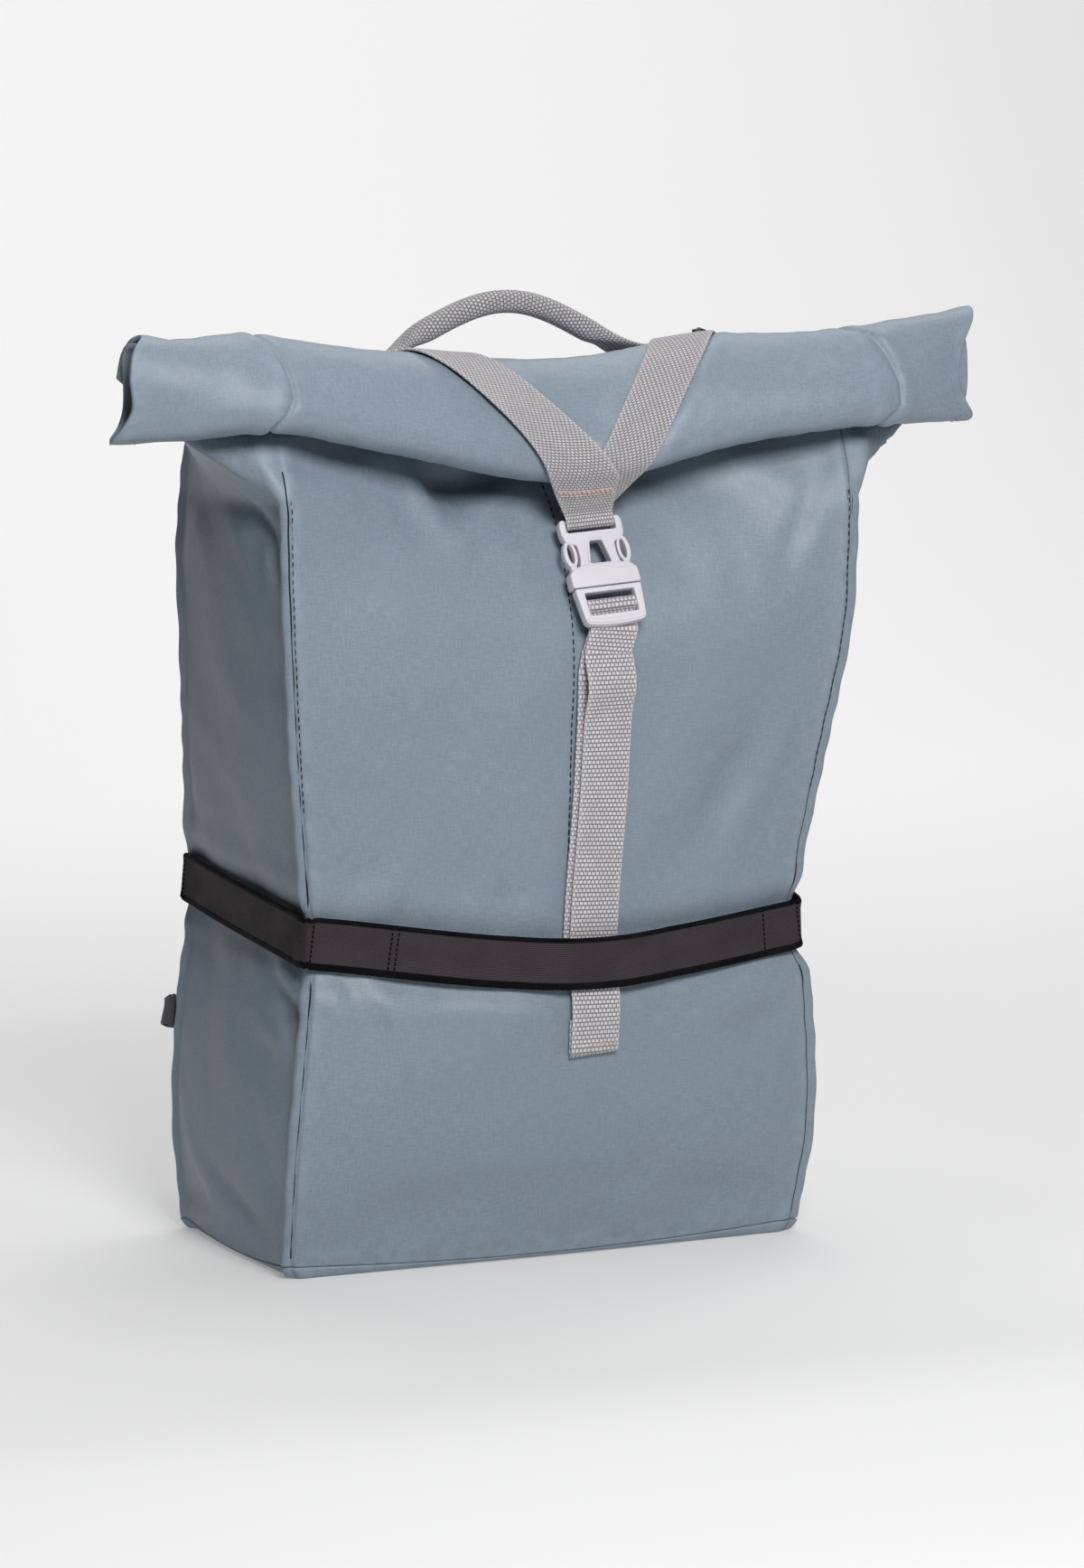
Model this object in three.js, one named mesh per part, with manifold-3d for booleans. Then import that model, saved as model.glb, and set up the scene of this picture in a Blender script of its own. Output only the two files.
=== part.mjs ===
// Rolltop backpack: a cloth box whose side panels fold outwards at the top, rolled forwards and
// held down by two webbings and a buckle. Millimetres, +Z up, front towards -Y.
// The origin is on the floor under the middle of the base.
import * as THREE from 'three';
import { mergeVertices } from 'three/addons/utils/BufferGeometryUtils.js';
import Module from 'manifold-3d';

const wasm = await Module();
wasm.setup();

// Driving dimensions
const BASE_WIDTH = 312;
const BASE_DEPTH = 168;
const RIM_HEIGHT = 466;
const WALL = 2;
const SEAM_GAP = 0.3;
const FRONT_BULGE = 20;
const BACK_BULGE = 8;
const SIDE_BULGE = 8;
const BASE_EDGE = 8;
const BASE_SAG = 5;
const BASE_ROUND = 7;

const ROLL_LENGTH = 500;
const ROLL_HEIGHT = 62;
const ROLL_THICKNESS = 32;
const ROLL_SHEET = 3;
const ROLL_PITCH = 4.4;
const ROLL_TURNS = 1.7;
const ROLL_SEAM = 179;
const FLAP_DROOP = 16;

const WEBBING_WIDTH = 30;
const WEBBING_THICKNESS = 1.5;
const LAY_GAP = 0.7;
const STRAP_SPREAD = 112;
const STRAP_MEET = 10;

const HANDLE_SPAN = 194;
const HANDLE_RISE = 32;
const HANDLE_THICKNESS = 13;
const HANDLE_BEHIND = 60;
const HANDLE_FOOT = 15;

const BUCKLE_WIDTH = 42;
const BUCKLE_THICKNESS = 8;
const BUCKLE_TILT = 2;
const BUCKLE_SHIFT = 2;
const PARTING_HEIGHT = 0.81;
const SLEEVE_HEIGHT = 12;
const BRIDGE_HEIGHT = 16;
const BRIDGE_HALF = 12.5;
const LADDER_HEIGHT = 21;
const SLOT_HEIGHT = 9;
const SHELL = 1.6;
const BAR = 3.2;
const FIT = 0.35;

const ANCHOR_HEIGHT = 0.385;
const FREE_END_HEIGHT = 0.262;
const LOWER_SHIFT = 3;
const BEND_DROP = 12;
const BEND_RISE = 5;
const HEM = 18;

const BAND_WIDTH = 29;
const BAND_THICKNESS = 1.4;
const BAND_GAP = 2.3;

const PAD_LENGTH = 300;
const PAD_WIDTH = 62;
const PAD_THICKNESS = 12;
const PAD_TOP = 0.95;
const PAD_SPREAD = 92;
const LOWER_ANCHOR = 0.26;
const ARM_GAP = 26;
const LOWER_WEBBING_WIDTH = 20;
const BACK_GAP = 1.5;

const TAB_FROM = 0.9;
const TAB_TO = 1.12;
const TAB_BEHIND = 54;
const TAB_WIDTH = 12;
const TAB_RISE = 5;
const BEAD_LENGTH = 9;
const BEAD_PLACE = 0.68;

// Shares and limits of the shapes below
const ROLL_SQUARENESS = 0.82;
const TAIL_PULL_BACK = 0.4;
const TAIL_PULL_UP = 1.1;
const LAP_START = 0.3;
const LAP_RATE = 4;
const MITRE_LIMIT = 0.35;
const LIP_SHARE = 0.3;
const OVER_WEBBING = 1.6;
const HANDLE_FILL = 2.2;
const PAD_NECK = 0.42;
const PAD_SWEEP = 1.4;
const PAD_END = 0.5;
const PAD_TAPER = 5;
const PAD_NOSE = 0.75;
const LOOP_LEAN = 0.25;

// Turns rows of numbers into rows with named columns
const table = (columns, rows) => rows.map((row) => Object.fromEntries(columns.map((c, i) => [c, row[i]])));

// Body sections from the base to the rim. Widths are shares of half the base width, front and back
// of half the base depth, each bulge of its own named size, the fold's reach of half the base depth,
// and the fold's place of the depth of its own section.
const BODY = table(
  ['at', 'width', 'front', 'back', 'frontBulge', 'sideBulge', 'backBulge', 'fold', 'foldPlace'],
  [
    [0.0, 1.0, 0.964, 1.0, 0.2, 0.3, 0.4, 0.0, 0.16],
    [0.13, 1.016, 1.143, 1.071, 0.55, 1.0, 1.0, 0.0, 0.16],
    [0.3, 0.981, 1.202, 1.095, 0.8, 0.9, 1.0, 0.0, 0.16],
    [0.37, 0.949, 1.119, 1.107, 0.85, 0.1, 1.0, 0.0, 0.16],
    [0.43, 0.958, 1.119, 1.083, 0.85, 0.1, 1.0, 0.0, 0.16],
    [0.59, 1.019, 1.25, 0.79, 0.55, 0.8, 1.0, 0.0, 0.16],
    [0.75, 1.077, 1.417, 0.57, -0.05, 0.8, 0.8, 0.0, 0.16],
    [0.85, 1.09, 1.44, 0.54, -1.0, 0.9, 0.6, 0.0, 0.12],
    [0.916, 1.093, 1.44, 0.452, -1.9, 0.8, 0.5, 0.0, 0.07],
    [0.96, 1.098, 1.36, 0.34, -2.1, 0.6, 0.4, 0.3, 0.09],
    [1.0, 1.103, 1.25, 0.202, -2.1, 0.3, 0.3, 0.61, 0.156],
  ],
);

// Rolled top from its left end to its right end. Places are shares of half the roll's length, forward
// of half the base depth, height of the rim height, the two half axes of half the roll's height and
// thickness, and the lean is in degrees. The rim columns say where the sheet leaves the body behind.
const ROLL = table(
  ['at', 'forward', 'height', 'long', 'thick', 'lean', 'rimBack', 'rimHeight'],
  [
    [-1.0, 1.226, 1.047, 0.9, 1.0, -6, -1.0, 1.06],
    [-0.88, 1.29, 1.046, 0.87, 1.0, 12, -0.86, 1.012],
    [-0.72, 1.345, 1.0525, 0.91, 0.94, 37, 0.14, 1.004],
    [-0.4, 1.25, 1.028, 1.0, 1.0, 35, 0.24, 1.004],
    [0.0, 1.143, 1.007, 1.195, 1.0, 32, 0.25, 1.004],
    [0.4, 1.25, 1.0415, 1.12, 1.0, 35, 0.24, 1.004],
    [0.72, 1.345, 1.0555, 0.96, 0.94, 37, 0.14, 1.004],
    [0.88, 1.29, 1.064, 0.96, 1.0, 14, -0.86, 1.012],
    [1.0, 1.226, 1.071, 1.03, 0.95, 0, -1.0, 1.06],
  ],
);

// Height of the elastic band's middle along its run from the back left seam round the front to the
// back right seam, as a share of the rim height
const BAND = table(
  ['at', 'height'],
  [
    [0.0, 0.444],
    [0.12, 0.425],
    [0.25, 0.405],
    [0.5, 0.368],
    [0.75, 0.39],
    [0.88, 0.402],
    [1.0, 0.428],
  ],
);

// Closure webbing's drift to the right of the centre seam, as a share of its width
const DRIFT = table(
  ['at', 'right'],
  [
    [0.0, 0.36],
    [0.25, 0.36],
    [0.42, 0.44],
    [0.6, 0.57],
    [0.76, 0.58],
    [1.0, 0.5],
  ],
);

const clamp = (value, low, high) => Math.min(Math.max(value, low), high);
const mix = (a, b, share) => a + (b - a) * share;
const range = (count) => Array.from({ length: count + 1 }, (_, i) => i / count);

// Value of a column at a place along a table, on a smooth curve through its rows
function along(rows, place, column) {
  const last = rows.length - 1;
  const held = clamp(place, rows[0].at, rows[last].at);
  let i = 0;
  while (i < last - 1 && held > rows[i + 1].at) i += 1;
  const slope = (k) => {
    const before = rows[Math.max(k - 1, 0)];
    const after = rows[Math.min(k + 1, last)];
    return (after[column] - before[column]) / (after.at - before.at);
  };
  const step = rows[i + 1].at - rows[i].at;
  const t = (held - rows[i].at) / step;
  const t2 = t * t;
  const t3 = t2 * t;
  return (2 * t3 - 3 * t2 + 1) * rows[i][column]
    + (t3 - 2 * t2 + t) * step * slope(i)
    + (3 * t2 - 2 * t3) * rows[i + 1][column]
    + (t3 - t2) * step * slope(i + 1);
}

// Straight-line version, for folds that keep their sharp start
function straight(rows, place, column) {
  const last = rows.length - 1;
  let i = 0;
  while (i < last - 1 && place > rows[i + 1].at) i += 1;
  const t = clamp((place - rows[i].at) / (rows[i + 1].at - rows[i].at), 0, 1);
  return mix(rows[i][column], rows[i + 1][column], t);
}

// Closed body with its faces pointing out, from points and triangles
function closedGeometry(points, triangles) {
  let volume = 0;
  for (const [a, b, c] of triangles) {
    volume += points[a].dot(new THREE.Vector3().crossVectors(points[b], points[c]));
  }
  const facing = volume < 0 ? triangles.map(([a, b, c]) => [a, c, b]) : triangles;
  const geometry = new THREE.BufferGeometry();
  geometry.setAttribute('position', new THREE.Float32BufferAttribute(points.flatMap((p) => p.toArray()), 3));
  geometry.setIndex(facing.flat());
  geometry.computeVertexNormals();
  return geometry;
}

// Wall between two like grids of points, closed along its four edges
function wall(outer, inner) {
  const rows = outer.length;
  const columns = outer[0].length;
  const points = [...outer.flat(), ...inner.flat()];
  const at = (side, i, j) => side * rows * columns + i * columns + j;
  const triangles = [];
  const quad = (a, b, c, d) => triangles.push([a, b, c], [a, c, d]);
  for (let i = 0; i < rows - 1; i += 1) {
    for (let j = 0; j < columns - 1; j += 1) {
      quad(at(0, i, j), at(0, i, j + 1), at(0, i + 1, j + 1), at(0, i + 1, j));
      quad(at(1, i, j), at(1, i + 1, j), at(1, i + 1, j + 1), at(1, i, j + 1));
    }
    quad(at(0, i, 0), at(0, i + 1, 0), at(1, i + 1, 0), at(1, i, 0));
    quad(at(0, i, columns - 1), at(1, i, columns - 1), at(1, i + 1, columns - 1), at(0, i + 1, columns - 1));
  }
  for (let j = 0; j < columns - 1; j += 1) {
    quad(at(0, 0, j + 1), at(0, 0, j), at(1, 0, j), at(1, 0, j + 1));
    quad(at(0, rows - 1, j), at(0, rows - 1, j + 1), at(1, rows - 1, j + 1), at(1, rows - 1, j));
  }
  return closedGeometry(points, triangles);
}

// Flat ribbon along stations that each have a point, a width direction and a normal
function ribbon(stations, width, thickness) {
  const side = (station, out) => [-0.5, 0, 0.5].map((share) => station.point.clone()
    .addScaledVector(station.across, share * width)
    .addScaledVector(station.normal, out * thickness / 2));
  return wall(stations.map((s) => side(s, 1)), stations.map((s) => side(s, -1)));
}

// Stations along a centre line whose width lies along one direction
function stationsAcross(points, across) {
  return points.map((point, i) => {
    const before = points[Math.max(i - 1, 0)];
    const after = points[Math.min(i + 1, points.length - 1)];
    const tangent = after.clone().sub(before).normalize();
    const normal = new THREE.Vector3().crossVectors(tangent, across).normalize();
    return { point, across: new THREE.Vector3().crossVectors(normal, tangent), normal };
  });
}

// Tube with rounded rings: each ring has a centre, two half axes and their directions
function ringTube(rings, sides) {
  const points = [];
  for (const ring of rings) {
    for (let k = 0; k < sides; k += 1) {
      const angle = (2 * Math.PI * (k + 0.5)) / sides;
      points.push(ring.centre.clone()
        .addScaledVector(ring.wide, Math.cos(angle))
        .addScaledVector(ring.thick, Math.sin(angle)));
    }
  }
  const triangles = [];
  for (let i = 0; i < rings.length - 1; i += 1) {
    for (let k = 0; k < sides; k += 1) {
      const a = i * sides + k;
      const b = i * sides + ((k + 1) % sides);
      triangles.push([a, b, b + sides], [a, b + sides, a + sides]);
    }
  }
  for (let k = 1; k < sides - 1; k += 1) {
    const end = (rings.length - 1) * sides;
    triangles.push([0, k + 1, k], [end, end + k, end + k + 1]);
  }
  return closedGeometry(points, triangles);
}

// Body
const halfWidth = (h) => along(BODY, h, 'width') * BASE_WIDTH / 2;
const frontSeam = (h) => -along(BODY, h, 'front') * BASE_DEPTH / 2;
const backSeam = (h) => along(BODY, h, 'back') * BASE_DEPTH / 2;
const rimLift = (share) => BASE_EDGE - BASE_SAG * (1 - share * share);
const heightOf = (h, share) => mix(rimLift(share), RIM_HEIGHT, h);

function frontPoint(h, s) {
  const y = frontSeam(h) - along(BODY, h, 'frontBulge') * FRONT_BULGE * (1 - s * s);
  return new THREE.Vector3(halfWidth(h) * s, y, heightOf(h, s));
}

function backPoint(h, s) {
  const y = backSeam(h) + along(BODY, h, 'backBulge') * BACK_BULGE * (1 - s ** 4);
  return new THREE.Vector3(halfWidth(h) * s, y, heightOf(h, s));
}

// Side panel point: q runs from the front seam to the back seam
function sidePoint(h, q, hand) {
  const fold = straight(BODY, h, 'fold') * BASE_DEPTH / 2;
  const place = straight(BODY, h, 'foldPlace');
  const tent = q < place ? q / place : (1 - q) / (1 - place);
  const x = halfWidth(h) + along(BODY, h, 'sideBulge') * SIDE_BULGE * 4 * q * (1 - q) + fold * tent;
  return new THREE.Vector3(hand * x, mix(frontSeam(h), backSeam(h), q), heightOf(h, 2 * q - 1));
}

const FRONT_STEPS = 14;
const BACK_STEPS = 8;
const FOLD_STEPS = 1;
const SIDE_STEPS = 6;
const BODY_HEIGHTS = [
  0, 0.06, 0.13, 0.21, 0.3, 0.335, 0.37, 0.4, 0.43, 0.51, 0.59,
  0.67, 0.75, 0.8, 0.85, 0.885, 0.916, 0.94, 0.96, 0.98, 1,
];

// Shares along a side panel, with one that follows its fold
function sideShares(h) {
  const place = straight(BODY, h, 'foldPlace');
  const nearFold = range(FOLD_STEPS).slice(0, -1).map((t) => t * place);
  return [...nearFold, ...range(SIDE_STEPS).map((t) => mix(place, 1, t))];
}

// Outer loop of the body at one height, anticlockwise seen from above, and where its corners are
function bodyLoop(h) {
  const front = range(FRONT_STEPS).map((t) => frontPoint(h, 2 * t - 1));
  const right = sideShares(h).map((q) => sidePoint(h, q, 1));
  const back = range(BACK_STEPS).map((t) => backPoint(h, 1 - 2 * t));
  const left = sideShares(h).reverse().map((q) => sidePoint(h, q, -1));
  const parts = [front, right, back, left];
  const corners = [0];
  for (const part of parts) corners.push(corners[corners.length - 1] + part.length - 1);
  return { points: parts.flatMap((part) => part.slice(0, -1)), corners };
}

// Loop moved inwards in its own plane by a distance, with mitred corners
function inset(points, distance) {
  const count = points.length;
  return points.map((point, i) => {
    const into = point.clone().sub(points[(i + count - 1) % count]).setZ(0).normalize();
    const outOf = points[(i + 1) % count].clone().sub(point).setZ(0).normalize();
    const bisector = new THREE.Vector3(-into.y - outOf.y, into.x + outOf.x, 0).normalize();
    const reach = distance / Math.max(bisector.dot(new THREE.Vector3(-into.y, into.x, 0)), MITRE_LIMIT);
    return point.clone().addScaledVector(bisector, reach);
  });
}

// One panel of the body, between two corners of its loops
function bodyPanel(index) {
  const strip = (loop, corners) => {
    const count = corners[index + 1] - corners[index];
    const at = (j) => loop[(corners[index] + j) % loop.length];
    const points = Array.from({ length: count + 1 }, (_, j) => at(j).clone());
    const first = points[1].clone().sub(points[0]).normalize();
    const last = points[count - 1].clone().sub(points[count]).normalize();
    points[0].addScaledVector(first, SEAM_GAP / 2);
    points[count].addScaledVector(last, SEAM_GAP / 2);
    return points;
  };
  const loops = BODY_HEIGHTS.map((h) => bodyLoop(h));
  const outer = loops.map(({ points, corners }) => strip(points, corners));
  const inner = loops.map(({ points, corners }) => strip(inset(points, WALL), corners));
  return wall(outer, inner);
}

// Base: a flat bottom with a rounded edge that rises to the panels
function basePanel() {
  const { points } = bodyLoop(0);
  const ringAt = (inward, drop) => inset(points, inward).map((p) => p.setZ(Math.max(p.z * (1 - drop), 0)));
  const below = [ringAt(0, 0), ringAt(LIP_SHARE * BASE_ROUND, 1 - LIP_SHARE), ringAt(BASE_ROUND, 1)];
  below[0].forEach((p) => p.setZ(p.z - SEAM_GAP));
  const above = [ringAt(WALL, 0), ringAt(WALL + LIP_SHARE * BASE_ROUND, 0.5), ringAt(WALL + BASE_ROUND, 1)];
  above[0].forEach((p) => p.setZ(p.z - SEAM_GAP));
  above[1].forEach((p) => p.setZ(Math.max(p.z, WALL)));
  above[2].forEach((p) => p.setZ(WALL));
  const count = points.length;
  const rings = [...below, ...above];
  const all = [...rings.flat(), new THREE.Vector3(0, 0, 0), new THREE.Vector3(0, 0, WALL)];
  const triangles = [];
  const join = (a, b) => {
    for (let k = 0; k < count; k += 1) {
      const next = (k + 1) % count;
      triangles.push([a * count + k, b * count + k, b * count + next]);
      triangles.push([a * count + k, b * count + next, a * count + next]);
    }
  };
  join(0, 1);
  join(1, 2);
  join(3, 0);
  join(4, 3);
  join(5, 4);
  const bottom = rings.length * count;
  for (let k = 0; k < count; k += 1) {
    const next = (k + 1) % count;
    triangles.push([2 * count + k, bottom, 2 * count + next], [5 * count + next, bottom + 1, 5 * count + k]);
  }
  return closedGeometry(all, triangles);
}

// Height share and surface of the front at a real place
const shareOfHeight = (z) => (z - rimLift(0)) / (RIM_HEIGHT - rimLift(0));

function onFront(x, z, out) {
  const h = shareOfHeight(z);
  const point = frontPoint(h, clamp(x / halfWidth(h), -1, 1));
  return new THREE.Vector3(x, point.y - out, z);
}

// Rolled top
const TAIL_STEPS = 6;
const SPIRAL_STEPS = 34;
const TAIL_START = 10;
const STRAP_TAIL_ROWS = 2;
const STRAP_ROWS = 9;
const HANDLE_STEPS = 24;
const PAD_STEPS = 10;

// Centre line of the sheet in one cross-section: first the stretch from the body, then the spiral.
// Angles of the spiral are in degrees, 0 at the crest, 90 in front, 180 at the bottom.
function rollAxes(place) {
  const lean = THREE.MathUtils.degToRad(along(ROLL, place, 'lean'));
  return {
    centre: new THREE.Vector3(
      place * ROLL_LENGTH / 2,
      -along(ROLL, place, 'forward') * BASE_DEPTH / 2,
      along(ROLL, place, 'height') * RIM_HEIGHT,
    ),
    upward: new THREE.Vector3(0, Math.sin(lean), Math.cos(lean)),
    outward: new THREE.Vector3(0, -Math.cos(lean), Math.sin(lean)),
    long: along(ROLL, place, 'long') * ROLL_HEIGHT / 2,
    thick: along(ROLL, place, 'thick') * ROLL_THICKNESS / 2,
  };
}

function spiralPoint(place, degrees, out) {
  const axes = rollAxes(place);
  const shrink = ROLL_PITCH * (degrees / 360) - out;
  const angle = THREE.MathUtils.degToRad(degrees);
  const flat = (value) => Math.sign(value) * Math.abs(value) ** ROLL_SQUARENESS;
  return axes.centre.clone()
    .addScaledVector(axes.upward, (axes.long - shrink) * flat(Math.cos(angle)))
    .addScaledVector(axes.outward, (axes.thick - shrink) * flat(Math.sin(angle)));
}

function rollLine(place) {
  const start = spiralPoint(place, TAIL_START, 0);
  const tangent = spiralPoint(place, TAIL_START + 4, 0).sub(start).normalize();
  const rim = new THREE.Vector3(
    place * ROLL_LENGTH / 2,
    along(ROLL, place, 'rimBack') * BASE_DEPTH / 2,
    along(ROLL, place, 'rimHeight') * RIM_HEIGHT,
  );
  const reach = start.distanceTo(rim) / 3;
  const curve = new THREE.CubicBezierCurve3(
    rim,
    rim.clone().add(new THREE.Vector3(0, -TAIL_PULL_BACK * reach, TAIL_PULL_UP * reach)),
    start.clone().addScaledVector(tangent, -reach),
    start,
  );
  const tail = range(TAIL_STEPS).slice(0, -1).map((t) => curve.getPoint(t));
  const spiral = range(SPIRAL_STEPS).map((t) => spiralPoint(place, TAIL_START + t * 360 * ROLL_TURNS, 0));
  return [...tail, ...spiral];
}

// Two faces of the sheet in one cross-section, moved sideways by a share of the flap's droop
function rollFaces(place, droop) {
  const line = rollLine(place);
  const face = (out) => line.map((point, i) => {
    const before = line[Math.max(i - 1, 0)];
    const after = line[Math.min(i + 1, line.length - 1)];
    const tangent = after.clone().sub(before).normalize();
    const normal = new THREE.Vector3(0, -tangent.z, tangent.y).multiplyScalar(-1);
    const low = clamp((axesHeight(place) - point.z) / ROLL_HEIGHT + 0.5, 0, 1);
    return point.clone()
      .addScaledVector(normal, out * ROLL_SHEET / 2)
      .add(new THREE.Vector3(Math.sign(place) * droop * low * FLAP_DROOP, 0, 0));
  });
  return [face(1), face(-1)];
}

const axesHeight = (place) => along(ROLL, place, 'height') * RIM_HEIGHT;

function rollPiece(from, to, steps, droopTo) {
  const faces = range(steps).map((t) => rollFaces(mix(from, to, t), droopTo * t * t));
  return wall(faces.map((f) => f[0]), faces.map((f) => f[1]));
}

const rollSeamShare = ROLL_SEAM / (ROLL_LENGTH / 2);

// Point off the sheet's outer face at one of its own stations
function offRoll(x, i, out) {
  const line = rollLine(x / (ROLL_LENGTH / 2));
  const beside = rollLine((x + WEBBING_WIDTH / 4) / (ROLL_LENGTH / 2));
  const into = line[i].clone().sub(line[i - 1]).normalize();
  const tangent = line[i + 1].clone().sub(line[i]).normalize().add(into);
  const normal = new THREE.Vector3().crossVectors(tangent, beside[i].clone().sub(line[i])).normalize();
  return line[i].clone().addScaledVector(normal, ROLL_SHEET / 2 + out);
}

// Point on or off the sheet's outer face, at a run in millimetres from the crest: forwards over the
// roll is positive, back down to the body negative
function onRoll(x, run, out) {
  const line = rollLine(x / (ROLL_LENGTH / 2));
  const step = Math.sign(run) || 1;
  let left = Math.abs(run);
  let i = TAIL_STEPS;
  while (left > line[i].distanceTo(line[i + step])) {
    left -= line[i].distanceTo(line[i + step]);
    i += step;
  }
  const share = left / line[i].distanceTo(line[i + step]);
  const beside = rollLine((x + WEBBING_WIDTH / 4) / (ROLL_LENGTH / 2));
  const normalAt = (k) => {
    const tangent = line[k + 1].clone().sub(line[k - 1]);
    return new THREE.Vector3().crossVectors(tangent, beside[k].clone().sub(line[k])).normalize();
  };
  const normal = normalAt(i).lerp(normalAt(i + step), share).normalize();
  const point = line[i].clone().lerp(line[i + step], share);
  return { point: point.addScaledVector(normal, ROLL_SHEET / 2 + out), normal };
}

// Buckle: its frame of directions on the front, with its parting line as origin
const drift = (z) => along(DRIFT, shareOfHeight(z), 'right') * WEBBING_WIDTH;

function onBuckle(right, up, out) {
  const [rightward, upward, outward] = buckle.axes;
  return buckle.origin.clone()
    .addScaledVector(rightward, right)
    .addScaledVector(upward, up)
    .addScaledVector(outward, out);
}

const buckle = (() => {
  const partingZ = PARTING_HEIGHT * RIM_HEIGHT;
  const webbings = 2 * WEBBING_THICKNESS + 4 * LAY_GAP;
  const origin = onFront(drift(partingZ), partingZ, webbings);
  const foot = onFront(drift(partingZ) + BUCKLE_SHIFT, partingZ - LADDER_HEIGHT, webbings + BUCKLE_TILT);
  const up = origin.clone().sub(foot).normalize();
  const right = new THREE.Vector3(1, 0, 0).addScaledVector(up, -up.x).normalize();
  return { origin, axes: [right, up, new THREE.Vector3().crossVectors(right, up).normalize()] };
})();

const BAR_UP = SLEEVE_HEIGHT + BRIDGE_HEIGHT + SLOT_HEIGHT + BAR / 2;
const LADDER_BAR_UP = -LADDER_HEIGHT / 2;
const LADDER_BACK = BUCKLE_THICKNESS * 0.45;
const LAYER = WEBBING_THICKNESS + SEAM_GAP;

// Webbing from behind the crest, over the roll and down to the buckle's top bar. The left one lies on
// the right one where they cross and goes round the bar. Each row holds points across the webbing.
const ACROSS = [-0.5, -0.25, 0, 0.25, 0.5];
const CLEAR_OF_BAR = BAR * Math.SQRT1_2 + SEAM_GAP + WEBBING_THICKNESS / 2;

function strapRows(hand, side) {
  const face = (side * WEBBING_THICKNESS) / 2;
  const top = hand < 0 ? LAYER + LAY_GAP : 0;
  const join = onBuckle(0, BAR_UP, BUCKLE_THICKNESS / 2);
  const from = TAIL_STEPS - STRAP_TAIL_ROWS;
  const to = TAIL_STEPS + STRAP_ROWS;
  const guide = rollLine(STRAP_SPREAD / ROLL_LENGTH);
  const runs = [0];
  for (let i = from; i < to; i += 1) runs.push(runs[runs.length - 1] + guide[i].distanceTo(guide[i + 1]));
  const length = runs[runs.length - 1];
  const slant = (STRAP_SPREAD - STRAP_MEET - hand * join.x) / length;
  const half = (WEBBING_WIDTH / 2) * Math.hypot(1, slant);
  const rows = runs.map((run, k) => {
    const share = run / length;
    const centre = mix(hand * STRAP_SPREAD, join.x + hand * STRAP_MEET, share);
    const out = WEBBING_THICKNESS / 2 + LAY_GAP + top * clamp(LAP_RATE * (share - LAP_START), 0, 1) + face;
    return ACROSS.map((place) => offRoll(centre + 2 * half * place, from + k, out));
  });
  const buckleRow = (up, out, turn = 0) => {
    const angle = THREE.MathUtils.degToRad(turn);
    return ACROSS.map((share) => onBuckle(
      share * WEBBING_WIDTH,
      BAR_UP + up - Math.sin(angle) * (out + face),
      BUCKLE_THICKNESS / 2 + Math.cos(angle) * (out + face),
    ));
  };
  const bridgeTo = (row) => {
    const leave = rows[rows.length - 1];
    for (const t of range(4).slice(1)) rows.push(row.map((point, k) => leave[k].clone().lerp(point, t)));
  };
  if (hand > 0) {
    bridgeTo(buckleRow(BAR * 2.2, CLEAR_OF_BAR - LAYER - LAY_GAP));
    return rows;
  }
  bridgeTo(buckleRow(BAR * 1.2, CLEAR_OF_BAR));
  for (const turn of [0, 45, 90, 135, 180]) rows.push(buckleRow(0, CLEAR_OF_BAR, turn));
  rows.push(buckleRow(BAR, CLEAR_OF_BAR, 180));
  return rows;
}

// Extruded outline of the buckle, lying in its frame
function plate(outline, holes, thickness) {
  const shape = new THREE.Shape(outline.map(([x, y]) => new THREE.Vector2(x, y)));
  for (const hole of holes) shape.holes.push(new THREE.Path(hole.map(([x, y]) => new THREE.Vector2(x, y))));
  return new THREE.ExtrudeGeometry(shape, { depth: thickness, bevelEnabled: false });
}

const mirrored = (half) => [...half, ...half.slice().reverse().map(([x, y]) => [-x, y])];
const rectangle = (halfX, low, high) => [[-halfX, low], [halfX, low], [halfX, high], [-halfX, high]];

function solidOf(geometry) {
  const bare = geometry.clone();
  bare.deleteAttribute('normal');
  bare.deleteAttribute('uv');
  const merged = mergeVertices(bare, 1e-4);
  const solid = new wasm.Mesh({
    numProp: 3,
    vertProperties: new Float32Array(merged.getAttribute('position').array),
    triVerts: new Uint32Array(merged.getIndex().array),
  });
  return new wasm.Manifold(solid);
}

function geometryOf(solid) {
  const { vertProperties, triVerts } = solid.getMesh();
  const geometry = new THREE.BufferGeometry();
  geometry.setAttribute('position', new THREE.Float32BufferAttribute(vertProperties, 3));
  geometry.setIndex(Array.from(triVerts));
  geometry.computeVertexNormals();
  return geometry;
}

const boxSolid = (x0, x1, y0, y1, z0, z1) => solidOf(
  new THREE.BoxGeometry(x1 - x0, y1 - y0, z1 - z0).translate((x0 + x1) / 2, (y0 + y1) / 2, (z0 + z1) / 2),
);

const HALF_BUCKLE = BUCKLE_WIDTH / 2;
const CAVITY_HALF = HALF_BUCKLE - SHELL;
const CATCH_INNER = BRIDGE_HALF + FIT + 1;

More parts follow.
